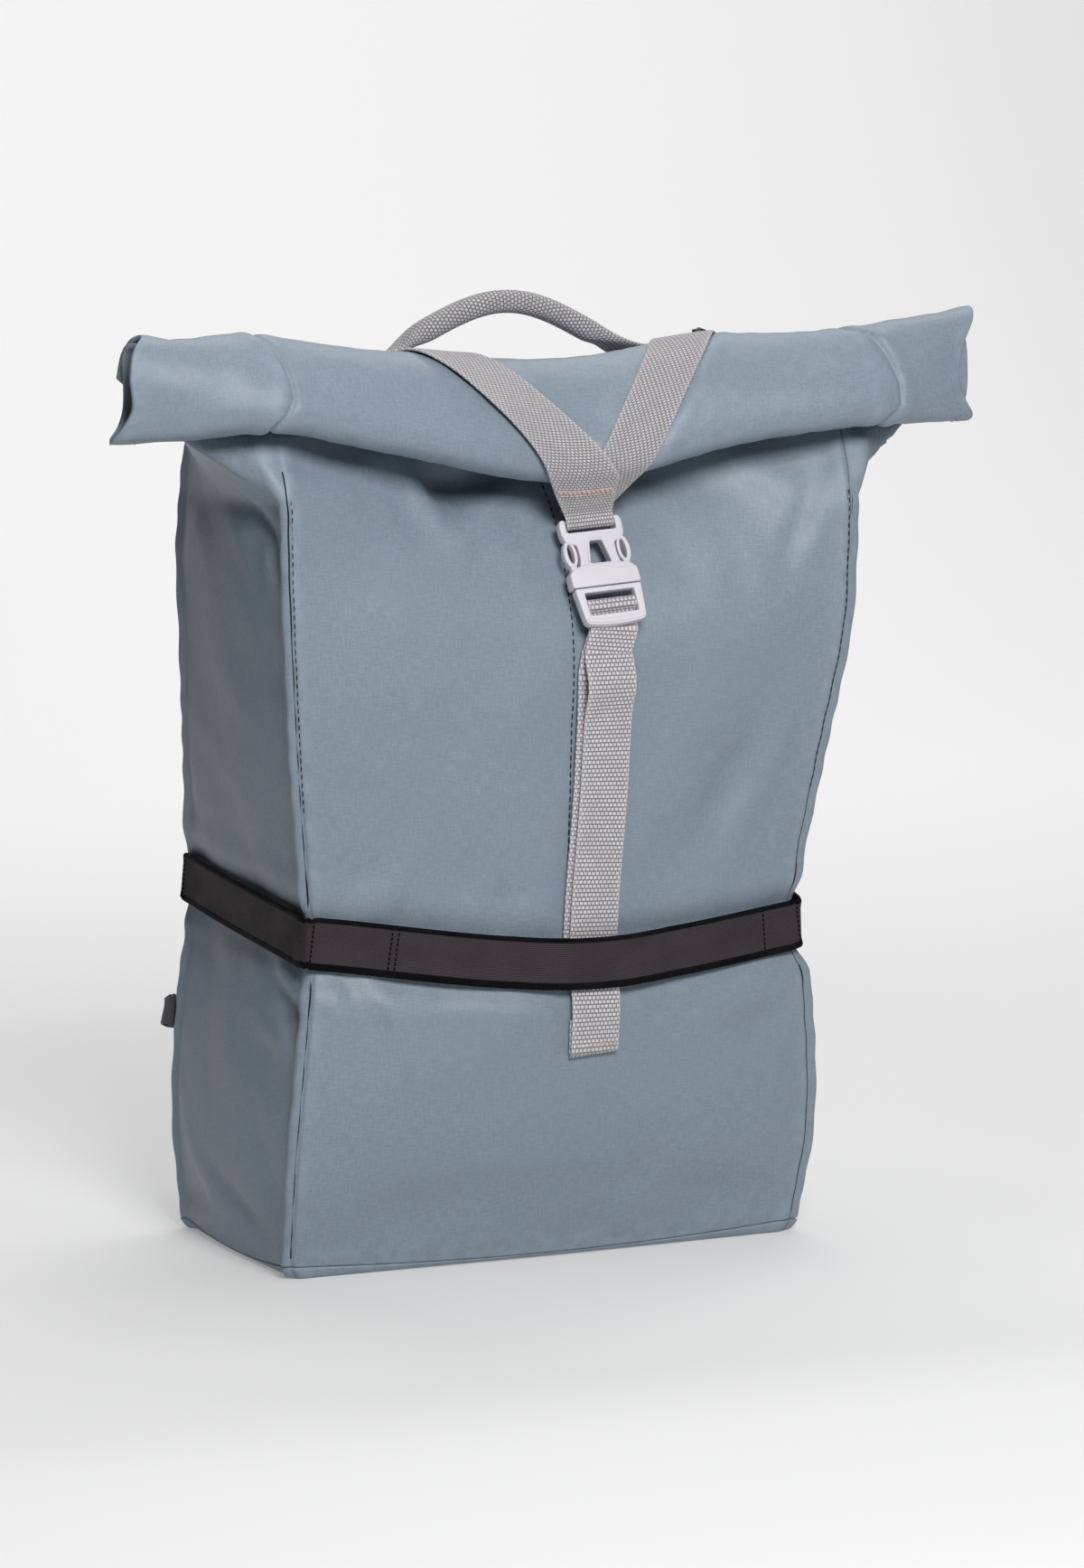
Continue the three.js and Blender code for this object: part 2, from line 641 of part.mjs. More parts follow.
// Upper half: webbing bar between two arms, bridge with a tapered window, sleeve for the catches
function buckleUpper() {
  const shoulder = SLEEVE_HEIGHT + BRIDGE_HEIGHT;
  const top = BAR_UP + BAR / 2;
  const inner = WEBBING_WIDTH / 2 + FIT;
  const body = solidOf(plate(
    mirrored([
      [HALF_BUCKLE, 0], [HALF_BUCKLE, SLEEVE_HEIGHT - 3], [HALF_BUCKLE - 3, SLEEVE_HEIGHT],
      [BRIDGE_HALF, SLEEVE_HEIGHT + 3], [BRIDGE_HALF, shoulder - 3], [HALF_BUCKLE - 2, shoulder + 1],
      [HALF_BUCKLE - 1, top - 3], [HALF_BUCKLE - 4, top],
    ]),
    [
      rectangle(inner, shoulder + 4, BAR_UP - BAR / 2),
      [[-8, SLEEVE_HEIGHT + 1], [8, SLEEVE_HEIGHT + 1], [4, shoulder - 1], [-4, shoulder - 1]],
    ],
    BUCKLE_THICKNESS,
  ));
  const cavity = boxSolid(-CAVITY_HALF, CAVITY_HALF, -1, SLEEVE_HEIGHT + 1, SHELL, BUCKLE_THICKNESS - SHELL);
  const besideBar = (low, high) => boxSolid(-inner, inner, BAR_UP - BAR, top + 1, low, high);
  const barFront = besideBar((BUCKLE_THICKNESS + BAR) / 2, BUCKLE_THICKNESS + 1);
  const barBack = besideBar(-1, (BUCKLE_THICKNESS - BAR) / 2);
  const mouths = [-1, 1].map((hand) => {
    const near = hand * (BRIDGE_HALF + FIT);
    const far = hand * HALF_BUCKLE;
    return boxSolid(Math.min(near, far), Math.max(near, far), SLEEVE_HEIGHT - 1, SLEEVE_HEIGHT + 4,
      SHELL, BUCKLE_THICKNESS - SHELL);
  });
  const cuts = [cavity, ...mouths, barFront, barBack];
  return geometryOf(cuts.reduce((solid, cut) => solid.subtract(cut), body));
}

// Lower half: ladder frame with one cross bar, and two catches that pass through the sleeve
function buckleLower() {
  const inner = WEBBING_WIDTH / 2 + FIT;
  const body = solidOf(plate(
    mirrored([
      [HALF_BUCKLE - 6, -LADDER_HEIGHT - 1.2], [HALF_BUCKLE - 3, -LADDER_HEIGHT + 1],
      [HALF_BUCKLE - 0.5, -FIT],
    ]),
    [
      rectangle(inner, LADDER_BAR_UP + BAR / 2, -BAR),
      rectangle(inner, -LADDER_HEIGHT + 5, LADDER_BAR_UP - BAR / 2),
    ],
    BUCKLE_THICKNESS,
  ));
  const slim = (low, high) => boxSolid(-inner, inner, LADDER_BAR_UP - BAR, LADDER_BAR_UP + BAR, low, high);
  let solid = body
    .subtract(slim((BUCKLE_THICKNESS + BAR) / 2, BUCKLE_THICKNESS + 1))
    .subtract(slim(-1, (BUCKLE_THICKNESS - BAR) / 2))
    .subtract(boxSolid(-inner, inner, -LADDER_HEIGHT - 3, LADDER_BAR_UP - BAR / 2, -1, LADDER_BACK));
  const low = SHELL + FIT;
  const high = BUCKLE_THICKNESS - SHELL - FIT;
  for (const hand of [-1, 1]) {
    const catchShape = plate(
      [
        [hand * CATCH_INNER, -FIT - 1],
        [hand * (CAVITY_HALF - FIT), -FIT - 1],
        [hand * (CAVITY_HALF - FIT), SLEEVE_HEIGHT],
        [hand * (HALF_BUCKLE - 1), SLEEVE_HEIGHT + 6],
        [hand * (HALF_BUCKLE - 3), SLEEVE_HEIGHT + BRIDGE_HEIGHT - 4],
        [hand * (BRIDGE_HALF + 1), SLEEVE_HEIGHT + BRIDGE_HEIGHT - 4],
        [hand * CATCH_INNER, SLEEVE_HEIGHT],
      ],
      [],
      high - low,
    ).translate(0, 0, low);
    solid = solid.add(solidOf(catchShape));
  }
  return geometryOf(solid);
}

const placeOnBuckle = (piece) => {
  piece.quaternion.setFromRotationMatrix(new THREE.Matrix4().makeBasis(...buckle.axes));
  piece.position.copy(buckle.origin);
  return piece;
};

// Closure webbing: from its anchor behind the band up to the ladder bar, round it, and down to a
// free end with a folded hem
function closureWebbing() {
  const across = buckle.axes[0];
  const low = WEBBING_THICKNESS / 2 + LAY_GAP;
  const high = low + WEBBING_THICKNESS + LAY_GAP;
  const anchorZ = ANCHOR_HEIGHT * RIM_HEIGHT;
  const endZ = FREE_END_HEIGHT * RIM_HEIGHT;
  const leaveZ = (PARTING_HEIGHT * RIM_HEIGHT) - LADDER_HEIGHT - BEND_DROP;
  const points = [];
  for (const t of range(12)) {
    const z = mix(anchorZ, leaveZ, t);
    points.push(onFront(drift(z) - LOWER_SHIFT * clamp(BEND_DROP * (1 - t), 0, 1), z, low));
  }
  const middle = BUCKLE_THICKNESS / 2;
  const clear = CLEAR_OF_BAR;
  const behindBar = LADDER_BACK - SEAM_GAP - WEBBING_THICKNESS / 2;
  points.push(onBuckle(0, -LADDER_HEIGHT - BAR, behindBar - LAYER - LAY_GAP - 1));
  points.push(onBuckle(0, -LADDER_HEIGHT, behindBar - LAYER - LAY_GAP));
  points.push(onBuckle(0, LADDER_BAR_UP - BAR, middle - clear - BAR / 3));
  for (const turn of [180, 135, 90, 45, 0, -45]) {
    const angle = THREE.MathUtils.degToRad(turn);
    points.push(onBuckle(0, LADDER_BAR_UP + clear * Math.sin(angle), middle + clear * Math.cos(angle)));
  }
  points.push(onBuckle(0, LADDER_BAR_UP - clear, middle - BAR / 4));
  points.push(onBuckle(0, LADDER_BAR_UP - clear - BAR, behindBar));
  points.push(onBuckle(0, -LADDER_HEIGHT, behindBar));
  points.push(onBuckle(0, -LADDER_HEIGHT - BAR, behindBar - 1));
  for (const t of range(16)) {
    const z = mix(leaveZ, endZ, t);
    const fromBend = (z - leaveZ) / BEND_DROP + 1.6;
    points.push(onFront(drift(z), z, high + BEND_RISE * Math.exp(-(fromBend ** 2))));
  }
  const hem = WEBBING_THICKNESS / 2 + SEAM_GAP;
  points.push(onFront(drift(endZ), endZ - hem * 1.6, high - hem));
  points.push(onFront(drift(endZ), endZ, high - 2 * hem));
  points.push(onFront(drift(endZ), endZ + HEM, high - 2 * hem));
  return stationsAcross(points, across);
}

// Elastic band round the front and both sides: a place along its run gives a point on the body
function bandBody(place, z) {
  const h = shareOfHeight(z);
  if (place < 0.25) return sidePoint(h, 1 - place * 4, -1);
  if (place > 0.75) return sidePoint(h, place * 4 - 3, 1);
  return frontPoint(h, place * 4 - 2);
}

function bandStations() {
  const left = range(8).map((t) => mix(0.003, 0.25, t));
  const front = range(20).slice(1, -1).map((t) => mix(0.25, 0.75, t));
  const places = [...left, ...front, ...left.map((p) => 1 - p).reverse()];
  const heights = places.map((place) => along(BAND, place, 'height') * RIM_HEIGHT);
  const foot = places.map((place, i) => bandBody(place, heights[i]).setZ(0));
  return places.map((place, i) => {
    const before = foot[Math.max(i - 1, 0)];
    const after = foot[Math.min(i + 1, foot.length - 1)];
    const into = foot[i].clone().sub(before).normalize();
    const tangent = after.clone().sub(foot[i]).normalize().add(into).normalize();
    const normal = new THREE.Vector3(tangent.y, -tangent.x, 0);
    const corner = i > 0 ? 1 / Math.max(tangent.dot(into), 0.6) : 1;
    const reach = range(6).map((t) => {
      const skin = bandBody(place, heights[i] + (t - 0.5) * BAND_WIDTH);
      return skin.setZ(0).sub(foot[i]).dot(normal);
    });
    const offWebbing = Math.abs(foot[i].x - drift(heights[i])) / WEBBING_WIDTH;
    const overWebbing = place > 0.25 && place < 0.75
      ? clamp(OVER_WEBBING - offWebbing, 0, 1) * 2 * (WEBBING_THICKNESS + LAY_GAP)
      : 0;
    const out = Math.max(0, ...reach) + (BAND_GAP + BAND_THICKNESS / 2) * corner + overWebbing;
    const climb = heights[Math.min(i + 1, places.length - 1)] - heights[Math.max(i - 1, 0)];
    const rise = climb / after.distanceTo(before);
    const run = tangent.clone().setZ(rise).normalize();
    return {
      point: foot[i].clone().setZ(heights[i]).addScaledVector(normal, out),
      across: new THREE.Vector3().crossVectors(normal, run).negate(),
      normal,
    };
  });
}

// Carry handle: flattened ends on the sheet behind the crest, a padded arch between them
function handleRings() {
  const foot = onRoll(HANDLE_SPAN / 2, -HANDLE_BEHIND, 0).point;
  const free = 1 - HANDLE_FOOT / (HANDLE_SPAN / 2);
  return range(HANDLE_STEPS).map((t) => {
    const s = 2 * t - 1;
    const arch = clamp((free - Math.abs(s)) / free, 0, 1);
    const rise = Math.sin((Math.PI * arch) / 2) ** 2;
    const steep = (-Math.sign(s) * (Math.PI / 2) * Math.sin(Math.PI * arch)) / free;
    const full = clamp(HANDLE_FILL * rise, 0, 1);
    const half = mix(WEBBING_THICKNESS, HANDLE_THICKNESS / 2, full);
    const seat = onRoll((s * HANDLE_SPAN) / 2, -HANDLE_BEHIND, half + SEAM_GAP);
    const normal = seat.normal.clone().lerp(new THREE.Vector3(0, 0, 1), full).normalize();
    const slope = new THREE.Vector3(HANDLE_SPAN / 2, 0, HANDLE_RISE * steep).normalize();
    const wide = new THREE.Vector3().crossVectors(normal, slope).normalize();
    return {
      centre: new THREE.Vector3(
        seat.point.x,
        mix(seat.point.y, foot.y, full),
        mix(seat.point.z, foot.z, full) + HANDLE_RISE * rise,
      ),
      wide: wide.multiplyScalar(mix(WEBBING_WIDTH / 2, HANDLE_THICKNESS / 2 + 1, full)),
      thick: new THREE.Vector3().crossVectors(slope, wide).normalize().multiplyScalar(half),
    };
  });
}

// Back: shoulder pad along the back panel, bowed out for the arm
function padRings(hand) {
  return range(PAD_STEPS).map((t) => {
    const z = PAD_TOP * RIM_HEIGHT - t * PAD_LENGTH;
    const x = hand * mix(PAD_SPREAD * PAD_NECK, PAD_SPREAD, t ** PAD_SWEEP);
    const h = shareOfHeight(z);
    const skin = backPoint(h, x / halfWidth(h));
    const bow = ARM_GAP * Math.sin(Math.PI * clamp(t * 1.02, 0, 1)) ** 0.8;
    const taper = mix(PAD_END, 1, clamp(PAD_TAPER * Math.min(t, 1 - t) + 0.15, 0, 1));
    const half = (PAD_THICKNESS / 2) * taper;
    return {
      centre: new THREE.Vector3(x, skin.y + bow + half + BACK_GAP + LAY_GAP + WEBBING_THICKNESS, z),
      wide: new THREE.Vector3((PAD_WIDTH / 2) * mix(PAD_NOSE, 1, clamp(6 * (1 - t), 0, 1)), 0, 0),
      thick: new THREE.Vector3(0, half, 0),
    };
  });
}

// Webbing from a pad's lower end to the lower corner of the back, with a small loop past the seam
function lowerWebbing(hand) {
  const zStart = PAD_TOP * RIM_HEIGHT - PAD_LENGTH + LOWER_WEBBING_WIDTH * 0.2;
  const zEnd = LOWER_ANCHOR * RIM_HEIGHT;
  const points = range(8).map((t) => {
    const z = mix(zStart, zEnd, t ** 0.8);
    const h = shareOfHeight(z);
    const x = hand * mix(PAD_SPREAD + PAD_WIDTH * 0.2, halfWidth(h) - 1, t);
    return backPoint(h, clamp(x / halfWidth(h), -1, 1)).setX(x)
      .add(new THREE.Vector3(0, BACK_GAP + WEBBING_THICKNESS / 2, 0));
  });
  const end = points[points.length - 1];
  points.push(end.clone().add(new THREE.Vector3(hand * 5, 4, -1)));
  points.push(end.clone().add(new THREE.Vector3(hand * 6.5, 8, -2)));
  points.push(end.clone().add(new THREE.Vector3(hand * 4, 11, -2)));
  points.push(end.clone().add(new THREE.Vector3(-hand * 3, 10, -1)));
  const down = new THREE.Vector3(-hand * LOOP_LEAN, 0, 1).normalize();
  return stationsAcross(points, down);
}

// Small tab with a bead behind the crest on the right
function topTab() {
  const points = range(6).map((t) => {
    const out = WEBBING_THICKNESS + LAY_GAP + TAB_RISE * Math.sin(Math.PI * t);
    return onRoll(mix(TAB_FROM, TAB_TO, t) * STRAP_SPREAD, -TAB_BEHIND, out).point;
  });
  return stationsAcross(points, new THREE.Vector3(0, 1, 0));
}

function topBead() {
  const rise = TAB_RISE * Math.sin(Math.PI * BEAD_PLACE) + WEBBING_THICKNESS * 1.5 + LAY_GAP;
  const seat = onRoll(mix(TAB_FROM, TAB_TO, BEAD_PLACE) * STRAP_SPREAD, -TAB_BEHIND, rise);
  const radius = BEAD_LENGTH / 2;
  return new THREE.SphereGeometry(radius, 12, 8).scale(1, 0.6, 0.5)
    .translate(seat.point.x, seat.point.y, seat.point.z + radius * 0.5 + SEAM_GAP);
}

const mesh = (name, geometry, color, roughness = 0.7, metalness = 0) => {
  const piece = new THREE.Mesh(geometry, new THREE.MeshStandardMaterial({ color, roughness, metalness }));
  piece.name = name;
  return piece;
};

const TARPAULIN = 0x85929d;
const WEBBING = 0xbcb8bb;
const ELASTIC = 0x3a383c;
const PLASTIC = 0xc8c6cb;
const PADDING = 0x3f3f42;

const webbingPiece = (name, geometry) => mesh(name, geometry, WEBBING, 0.85);

const group = new THREE.Group();
group.name = 'rolltop_backpack';
group.add(
  mesh('base_panel', basePanel(), TARPAULIN),
  mesh('front_panel', bodyPanel(0), TARPAULIN),
  mesh('side_panel_right', bodyPanel(1), TARPAULIN),
  mesh('back_panel', bodyPanel(2), TARPAULIN),
  mesh('side_panel_left', bodyPanel(3), TARPAULIN),
  mesh('rolltop_center', rollPiece(-rollSeamShare + 0.001, rollSeamShare - 0.001, 12, 0), TARPAULIN),
  mesh('rolltop_left', rollPiece(-rollSeamShare - 0.001, -1, 5, 1), TARPAULIN),
  mesh('rolltop_right', rollPiece(rollSeamShare + 0.001, 1, 5, 0.3), TARPAULIN),
  mesh('elastic_band', ribbon(bandStations(), BAND_WIDTH, BAND_THICKNESS), ELASTIC, 0.85),
  webbingPiece('v_strap_left', wall(strapRows(-1, 1), strapRows(-1, -1))),
  webbingPiece('v_strap_right', wall(strapRows(1, 1), strapRows(1, -1))),
  webbingPiece('closure_strap', ribbon(closureWebbing(), WEBBING_WIDTH, WEBBING_THICKNESS)),
  placeOnBuckle(mesh('buckle_upper', buckleUpper(), PLASTIC, 0.5)),
  placeOnBuckle(mesh('buckle_lower', buckleLower(), PLASTIC, 0.5)),
  webbingPiece('carry_handle', ringTube(handleRings(), 8)),
  webbingPiece('top_tab', ribbon(topTab(), TAB_WIDTH, WEBBING_THICKNESS)),
  mesh('top_bead', topBead(), ELASTIC, 0.4),
);

for (const [hand, side] of [[-1, 'left'], [1, 'right']]) {
  const lower = ribbon(lowerWebbing(hand), LOWER_WEBBING_WIDTH, WEBBING_THICKNESS);
  group.add(
    mesh(`shoulder_pad_${side}`, ringTube(padRings(hand), 10), PADDING, 0.9),
    mesh(`lower_webbing_${side}`, lower, PADDING, 0.9),
  );
}

export default group;
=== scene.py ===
import math

import bmesh
import bpy
import numpy as np
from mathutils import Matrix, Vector


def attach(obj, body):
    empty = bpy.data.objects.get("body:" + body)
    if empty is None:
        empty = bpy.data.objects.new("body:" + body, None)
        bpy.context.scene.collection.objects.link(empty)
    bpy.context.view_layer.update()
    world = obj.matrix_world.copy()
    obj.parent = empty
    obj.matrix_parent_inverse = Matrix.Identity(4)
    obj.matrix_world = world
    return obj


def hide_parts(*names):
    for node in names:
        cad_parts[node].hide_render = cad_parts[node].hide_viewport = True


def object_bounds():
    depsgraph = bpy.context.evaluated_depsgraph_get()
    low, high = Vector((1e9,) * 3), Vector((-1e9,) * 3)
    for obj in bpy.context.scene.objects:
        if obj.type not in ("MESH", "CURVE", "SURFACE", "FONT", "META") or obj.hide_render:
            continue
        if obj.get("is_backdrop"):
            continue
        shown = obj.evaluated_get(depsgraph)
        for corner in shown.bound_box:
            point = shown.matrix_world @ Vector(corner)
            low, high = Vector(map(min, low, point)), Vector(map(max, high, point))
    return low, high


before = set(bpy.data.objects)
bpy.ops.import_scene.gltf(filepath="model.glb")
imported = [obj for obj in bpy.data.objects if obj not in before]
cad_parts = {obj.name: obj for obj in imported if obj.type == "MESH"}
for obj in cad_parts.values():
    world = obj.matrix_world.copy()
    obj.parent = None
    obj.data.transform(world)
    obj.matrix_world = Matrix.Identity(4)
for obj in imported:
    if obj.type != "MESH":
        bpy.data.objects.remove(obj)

CAD_LOW, CAD_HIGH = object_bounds()

# Rolltop backpack. Shapes are worked out in millimetres in the same frame as the solids: the origin on
# the floor under the middle of the base, +X to the viewer's right, front towards -Y, +Z up.
MM = 0.001

BASE_WIDTH = 312
BASE_DEPTH = 168
RIM_HEIGHT = 466
FRONT_BULGE = 20
BACK_BULGE = 8
SIDE_BULGE = 8
BASE_EDGE = 8
BASE_SAG = 5
BASE_ROUND = 7

ROLL_LENGTH = 500
ROLL_HEIGHT = 62
ROLL_THICKNESS = 32
ROLL_PITCH = 4.4
ROLL_TURNS = 1.7
ROLL_SEAM = 179
ROLL_OUTER = 1.5
ROLL_INNER = 0.6
ROLL_SQUARE = 0.82
TAIL_STEPS = 6
SPIRAL_STEPS = 34
TAIL_START = 10

WEBBING_WIDTH = 30
WEBBING_THICKNESS = 1.5
LAY_GAP = 0.7
STRAP_SPREAD = 112
STRAP_MEET = 10

HANDLE_SPAN = 194
HANDLE_RISE = 32
HANDLE_FULLNESS = 1.5
HANDLE_SAG = 3.5
HANDLE_THICKNESS = 13
HANDLE_BEHIND = 60
HANDLE_FOOT = 15

BUCKLE_WIDTH = 42
BUCKLE_THICKNESS = 8
BUCKLE_TILT = 2
BUCKLE_SHIFT = 2
PARTING_HEIGHT = 0.81
SLEEVE_HEIGHT = 12
BRIDGE_HEIGHT = 16
SLOT_HEIGHT = 9
LADDER_HEIGHT = 21
BAR = 3.2

ANCHOR_HEIGHT = 0.385
FREE_END_HEIGHT = 0.262
LOWER_SHIFT = 3
BEND_DROP = 12
BEND_RISE = 5
HEM = 18

BAND_WIDTH = 29
BAND_THICKNESS = 1.4
BAND_GAP = 2.3

PAD_LENGTH = 300
PAD_WIDTH = 62
PAD_THICKNESS = 12
PAD_TOP = 0.95
PAD_SPREAD = 92
LOWER_ANCHOR = 0.26
ARM_GAP = 26
LOWER_WEBBING_WIDTH = 20
BACK_GAP = 1.5

TAB_FROM = 0.9
TAB_TO = 1.12
TAB_BEHIND = 54
TAB_WIDTH = 12
TAB_RISE = 5
BEAD_LENGTH = 9

SEAM_DEPTH = 1.5
SEAM_WIDTH = 1.4
# Radius and lift of the dark line of painted shade laid in each corner seam's groove
GROOVE_SHADE_RADIUS = 0.5
GROOVE_SHADE_LIFT = 0.1


def table(columns, rows):
    """Rows of numbers as one array for each named column."""
    return dict(zip(columns, np.array(rows, float).T))


# Body sections from the base to the rim. Widths are shares of half the base width, front and back of
# half the base depth, each bulge of its own named size, the fold's reach of half the base depth, and
# the fold's place of the depth of its own section.
BODY = table(
    ["at", "width", "front", "back", "front_bulge", "side_bulge", "back_bulge", "fold", "fold_place"],
    [
        [0.0, 1.0, 0.964, 1.0, 0.2, 0.3, 0.4, 0.0, 0.16],
        [0.13, 1.016, 1.143, 1.071, 0.55, 1.0, 1.0, 0.0, 0.16],
        [0.3, 0.981, 1.202, 1.095, 0.8, 0.9, 1.0, 0.0, 0.16],
        [0.37, 0.949, 1.119, 1.107, 0.85, 0.1, 1.0, 0.0, 0.16],
        [0.43, 0.958, 1.119, 1.083, 0.85, 0.1, 1.0, 0.0, 0.16],
        [0.59, 1.019, 1.25, 0.79, 0.55, 0.8, 1.0, 0.0, 0.16],
        [0.75, 1.077, 1.417, 0.57, -0.05, 0.8, 0.8, 0.0, 0.16],
        [0.85, 1.09, 1.44, 0.54, -1.0, 0.9, 0.6, 0.0, 0.12],
        [0.916, 1.093, 1.44, 0.452, -1.9, 0.8, 0.5, 0.0, 0.07],
        [0.96, 1.098, 1.36, 0.34, -2.1, 0.6, 0.4, 0.3, 0.09],
        [1.0, 1.103, 1.25, 0.202, -2.1, 0.3, 0.3, 0.61, 0.156],
    ],
)

# Rolled top from its left end to its right end, as shares of the named sizes, and its lean in degrees
ROLL = table(
    ["at", "forward", "height", "long", "thick", "lean", "rim_back", "rim_height"],
    [
        [-1.0, 1.226, 1.047, 0.9, 1.0, -6, -1.0, 1.06],
        [-0.88, 1.29, 1.046, 0.87, 1.0, 12, -0.86, 1.012],
        [-0.72, 1.345, 1.0525, 0.91, 0.94, 37, 0.14, 1.004],
        [-0.4, 1.25, 1.028, 1.0, 1.0, 35, 0.24, 1.004],
        [0.0, 1.143, 1.007, 1.195, 1.0, 32, 0.25, 1.004],
        [0.4, 1.25, 1.0415, 1.12, 1.0, 35, 0.24, 1.004],
        [0.72, 1.345, 1.0555, 0.96, 0.94, 37, 0.14, 1.004],
        [0.88, 1.29, 1.064, 0.96, 1.0, 14, -0.86, 1.012],
        [1.0, 1.226, 1.071, 1.03, 0.95, 0, -1.0, 1.06],
    ],
)

# Slant of the two seams of the rolled top, in millimetres to the right, against degrees round it
ROLL_SLANT = table(
    ["at", "left", "right"],
    [
        [0, -5, -8], [30, -4, -3], [60, 1, 7], [90, 6, 14],
        [120, 7, 17], [150, 3, 15], [185, -3, 6], [240, -3, 4],
    ],
)

# How far each end of the rolled sheet reaches, in millimetres, against degrees round the spiral
ROLL_ENDS = table(
    ["at", "left", "right"],
    [
        [-60, 3, 2], [-30, 1, 4], [0, -2, 6], [40, 6, 2], [75, 9, -7], [100, 7, -9], [125, 11, -3],
        [150, 15, 4], [185, 13, 3], [250, 2, -2], [330, 4, -6], [400, -5, -3], [480, -6, -1], [622, -8, -4],
    ],
)

BAND = table(
    ["at", "height"],
    [[0.0, 0.444], [0.12, 0.425], [0.25, 0.405], [0.5, 0.368], [0.75, 0.39], [0.88, 0.402], [1.0, 0.428]],
)

DRIFT = table(
    ["at", "right"],
    [[0.0, 0.36], [0.25, 0.36], [0.42, 0.44], [0.6, 0.57], [0.76, 0.58], [1.0, 0.5]],
)

# Dents, folds and ridges of the cloth. Each lies across a panel at a place in millimetres (along its
# width and up), runs at an angle in degrees, has a length, a width and a depth (outwards positive),
# and is a soft hollow at sharp 0 or a crisp fold at sharp 1.
DENT_ROWS = {
    "front": [
        [-62, 440, -58, 17, 13, -9.5, 0], [-46, 440, 10, 24, 9, -6.0, 0],
        [-80, 428, -60, 22, 8, 3.0, 0], [-46, 418, 34, 26, 9, 3.0, 0],
        [-8, 430, 14, 34, 12, 1.6, 0], [52, 440, -8, 60, 10, -3.0, 0],
        [-132, 440, 16, 40, 10, 2.4, 0], [128, 436, -34, 40, 12, 2.4, 0],
        [146, 420, 66, 34, 7, -2.4, 0], [-120, 330, 62, 90, 26, 1.6, 0],
        [-60, 300, 80, 120, 34, -1.2, 0], [92, 330, 70, 90, 30, 1.5, 0],
        [98, 262, 58, 40, 14, -6.0, 0], [118, 262, 66, 44, 9, 3.0, 0],
        [72, 292, 52, 46, 14, 2.0, 0], [-130, 271, 4, 26, 4, -1.3, 1],
        [-124, 222, 40, 26, 9, -2.2, 0], [-98, 206, 62, 17, 8, -2.6, 0],
        [-42, 204, 70, 15, 8, -2.4, 0], [-66, 214, 66, 30, 12, -2.0, 0],
        [-92, 236, 70, 34, 12, 1.2, 0], [-140, 164, -64, 26, 7, 2.0, 0],
        [-127, 158, -62, 30, 8, -2.6, 0], [-112, 160, -58, 34, 9, 1.6, 0],
        [-96, 120, -30, 60, 18, 1.4, 0], [124, 128, 14, 26, 11, -5.0, 0],
        [104, 140, 30, 40, 12, 1.6, 0], [60, 90, 16, 90, 24, 1.2, 0],
        [-60, 40, 6, 90, 16, -1.4, 0], [90, 34, -10, 70, 14, -1.6, 0],
        [0, 20, 0, 130, 9, 1.3, 0],
    ],
    "left": [
        [-92, 428, 24, 26, 6, 3.4, 0], [-94, 414, 40, 24, 7, -6.0, 0],
        [-100, 396, 64, 20, 5, 2.6, 0], [-70, 402, 52, 34, 9, 2.4, 0],
        [-40, 436, 20, 40, 10, -2.6, 0], [0, 410, -30, 40, 12, 2.0, 0],
        [-60, 380, 60, 60, 14, 1.4, 0], [0, 330, 70, 90, 22, -2.0, 0],
        [50, 300, 80, 70, 18, 2.0, 0], [-78, 152, 20, 26, 6, -5.0, 0],
        [-66, 168, 24, 30, 6, 3.2, 0], [-72, 134, 14, 30, 8, 3.4, 0],
        [20, 150, -10, 40, 10, -2.0, 0], [-60, 70, 60, 50, 12, -2.2, 0],
        [-30, 30, 22, 46, 7, -3.0, 0], [30, 44, 40, 40, 10, 2.0, 0],
        [60, 20, -20, 30, 8, -2.4, 0],
    ],
    "right": [
        [-104, 440, 40, 22, 6, -5.0, 0], [-100, 424, 60, 18, 6, 3.0, 0],
        [-100, 404, 60, 12, 5, -4.0, 0], [-96, 372, 80, 40, 9, 2.4, 0],
        [-40, 330, 70, 80, 20, -2.4, 0], [30, 280, 70, 70, 18, 1.8, 0],
        [-60, 150, 10, 40, 9, -2.4, 0], [-20, 90, 50, 60, 16, 1.8, 0],
        [-40, 30, 20, 50, 9, -2.4, 0],
    ],
    "back": [
        [0, 60, 4, 110, 18, -1.6, 0], [-110, 300, 60, 60, 16, -1.6, 0],
        [110, 280, -60, 60, 16, -1.6, 0], [0, 200, 0, 100, 22, 1.2, 0],
    ],
    "roll": [
        [-132, 76, 22, 40, 9, -2.6, 0], [-120, 94, 16, 44, 8, 2.4, 0],
        [-60, 92, 10, 46, 9, -2.0, 0], [-40, 110, 6, 60, 8, 1.8, 0],
        [44, 86, -12, 50, 9, -2.2, 0], [100, 66, -22, 46, 9, -2.6, 0],
        [112, 86, -14, 44, 8, 2.2, 0], [150, 74, -30, 26, 8, -2.2, 0],
        [-196, 70, 70, 26, 7, -2.0, 0], [-216, 92, 34, 28, 8, 2.2, 0],
        [-222, 108, -20, 22, 8, -2.2, 0], [200, 78, -50, 30, 8, 2.2, 0],
        [222, 96, -24, 26, 8, -2.4, 0], [-150, 56, 4, 40, 8, -1.8, 0],
        [70, 52, -6, 50, 8, 1.6, 0],
    ],
}
DENT_COLUMNS = ["across", "up", "angle", "length", "width", "depth", "sharp"]
DENTS = {panel: table(DENT_COLUMNS, rows) for panel, rows in DENT_ROWS.items()}


